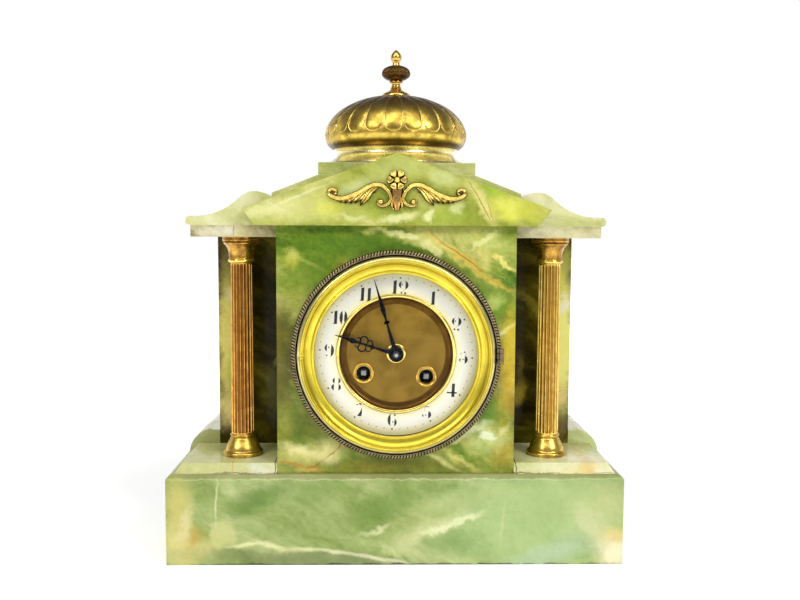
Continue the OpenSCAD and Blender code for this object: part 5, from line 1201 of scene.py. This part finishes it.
# Lobes that hang from the band, with their half width and height
LOBES = [
    ([(13.5, 26.4), (17.5, 23.5), (21.0, 19.0), (23.6, 15.6), (25.0, 13.8)], 2.7, 3.0),
    ([(18.0, 25.4), (22.5, 21.6), (26.0, 18.0), (28.6, 15.2)], 2.4, 2.9),
    ([(23.0, 23.2), (27.0, 19.8), (30.0, 17.0), (31.6, 14.9)], 2.2, 2.8),
    ([(28.0, 21.0), (31.4, 18.4), (33.8, 16.4), (35.4, 15.2)], 2.0, 2.6),
    ([(32.5, 19.6), (35.4, 17.8), (37.6, 16.6), (39.0, 15.9)], 1.7, 2.4),
    ([(36.0, 18.6), (38.5, 17.4), (40.8, 16.8)], 1.2, 2.0),
]
SIDE_LEAF = [(1.4, 24.0), (2.2, 19.5), (3.4, 15.2), (3.3, 12.6), (2.0, 11.4)]
STEM = [(0.0, 25.5), (0.0, 19.0), (0.0, 14.0), (0.0, 10.8)]
# Profiles of the ball in each limb and of the rosette, as radius and height, and their places
BALL_AT = (11.0, 16.2)
ROSETTE_Z = 31.0
BALL = [(0.02, 2.6), (0.8, 2.5), (1.5, 2.0), (1.9, 1.2), (1.95, 0.0)]
FLOWER = [(0.02, 1.6), (1.6, 1.7), (2.8, 2.05), (4.2, 2.5), (5.4, 2.95), (6.1, 3.0), (6.6, 2.6), (6.95, 1.6),
          (7.1, 0.0)]
BOSS = [(0.02, 4.2), (0.9, 4.05), (1.6, 3.5), (2.0, 2.6), (2.1, 0.0)]


def ornament():
    verts, faces = [], []

    def add(v, f):
        o = len(verts)
        verts.extend(v)
        faces.extend(tuple(o + i for i in q) for q in f)

    def petals(r, h, a, i):
        """Six hollowed petals with grooves between them."""
        between = abs((a * 3 / math.pi) % 1.0 - 0.5) * 2
        gap = (1 - between) * r * math.pi / 6
        return r * (1 - 0.2 * between ** 3), h * (1 - 0.75 * math.exp(-(gap / 0.5) ** 2))

    for flip in (-1, 1):
        add(*leaf(BAND, (1.8, 1.9, 1.0), (2.9, 2.8, 2.2), flip))
        add(*leaf(LIMB, (1.6, 1.5, 1.0), (2.7, 2.6, 2.1), flip, 0.1))
        ball_place = facing(Y_PEDIMENT, flip * BALL_AT[0], Z_LINTEL_TOP + BALL_AT[1])
        add(*lathe(BALL, 20, ball_place, closed=False))
        add(*leaf(BED, (2.4, 2.8, 1.4), (1.2, 1.3, 0.8), flip, 0.0))
        for line, w, h in LOBES:
            add(*leaf(line, (0.5 * w, w, 0.3), (0.7 * h, h, 0.7), flip, 0.35))
        add(*leaf(SIDE_LEAF, (0.7, 1.0, 0.5), (2.2, 2.9, 2.2), flip))
    rosette = facing(Y_PEDIMENT, 0.0, Z_LINTEL_TOP + ROSETTE_Z)
    add(*lathe(FLOWER, 144, rosette, petals, False))
    add(*lathe(BOSS, 144, rosette, closed=False))
    piece("pediment_ornament", "ornament", verts, faces, "pediment_mount", 55.0)
    stem = leaf(STEM, (4.2, 3.4, 1.6), (1.8, 2.4, 2.0), crease=0.3, sides=14)
    piece("ornament_palmette", "palmette", *stem, sharp=55.0)


dome()
finial()
collar()
columns()
rope()
bezel()
dial_rings()
hands()
numerals()
ornament()


# Camera, light and ground

# The camera's place in metres, its pitch, yaw and roll in degrees, and its lens
CAMERA_AT = (-0.00993, -0.6862, 0.2379)
CAMERA_TURN = (4.77, 1.14, 0.27)
LENS = 40.66
# The paper: how far it keeps shadows, where it is plain white, its half size in metres, its own glow
PAPER_NEAR = 260.0
PAPER_FAR = 620.0
PAPER_SIZE = 6.0
PAPER_GLOW = 0.36
WHITE = (1.0, 1.0, 1.0, 1.0)


def camera():
    pitch, yaw, roll = (math.radians(a) for a in CAMERA_TURN)
    ahead = Vector((math.sin(yaw) * math.cos(pitch), math.cos(yaw) * math.cos(pitch), -math.sin(pitch)))
    right = Vector((math.cos(yaw), -math.sin(yaw), 0.0))
    up = right.cross(ahead)
    r = right * math.cos(roll) + up * math.sin(roll)
    u = -right * math.sin(roll) + up * math.cos(roll)
    data = bpy.data.cameras.new("camera")
    data.sensor_width = 36.0
    data.lens = LENS
    data.clip_start = 0.01
    ob = added("camera", data)
    m = Matrix((r, u, -ahead)).transposed().to_4x4()
    m.translation = CAMERA_AT
    ob.matrix_world = m
    bpy.context.scene.camera = ob


def area(name, place, target, size, power):
    data = bpy.data.lights.new(name, "AREA")
    data.shape = "RECTANGLE"
    data.size, data.size_y = size
    data.energy = power
    ob = added(name, data)
    ob.location = place
    ob.rotation_euler = (Vector(target) - Vector(place)).to_track_quat("-Z", "Y").to_euler()


def ground():
    """White paper that keeps the object's shadow near it and is plain white further off."""
    g = Surface("paper")
    p = g.point()
    weave = g.noise(p, 5.0, 3.0, 0.5, 1.0)
    g.set("Base Color", g.ramp(weave, [(0.3, (0.86, 0.86, 0.86)), (0.7, (0.9, 0.9, 0.9))]))
    g.set("Roughness", 0.9)
    g.set("Emission Color", WHITE)
    far = g.step(g.length(p), PAPER_NEAR, PAPER_FAR)
    white = g.times(far, g.larger(*g.seen()))
    g.set("Emission Strength", g.math("MULTIPLY_ADD", white, 1.0 - PAPER_GLOW, PAPER_GLOW))
    mesh = bpy.data.meshes.new("ground")
    s = PAPER_SIZE
    mesh.from_pydata([(-s, -s, 0), (s, -s, 0), (s, s, 0), (-s, s, 0)], [], [(0, 1, 2, 3)])
    mesh.materials.append(MAT["paper"])
    added("ground", mesh)


def sky():
    """A grey room with a white sweep behind the object; the camera sees white all round."""
    world = bpy.data.worlds.new("studio")
    world.use_nodes = True
    bpy.context.scene.world = world
    g = Graph(world.node_tree)
    way = g.node("ShaderNodeTexCoord").outputs["Generated"]
    sweep = g.times(g.step(g.part(way, 1), 0.0, 0.4), g.step(g.part(way, 2), 0.6, 0.3))
    room = g.mix(sweep, (0.2, 0.2, 0.2, 1.0), (0.7, 0.7, 0.7, 1.0))
    direct, gloss = g.seen()
    white = g.larger(direct, g.times(gloss, sweep))
    back = g.node("ShaderNodeBackground", {"Color": g.mix(white, room, WHITE)})
    g.node("ShaderNodeOutputWorld", {0: back.outputs[0]})


camera()
sky()
ground()
area("left_box", (-1.15, -1.25, 1.3), (0, 0, 0.18), (0.6, 0.6), 11)
area("right_box", (1.15, -1.25, 1.3), (0, 0, 0.18), (0.6, 0.6), 15)
area("top_box", (0.0, -0.85, 1.9), (0, 0, 0.2), (2.0, 1.5), 21.5)
bpy.context.scene.view_settings.view_transform = "Standard"
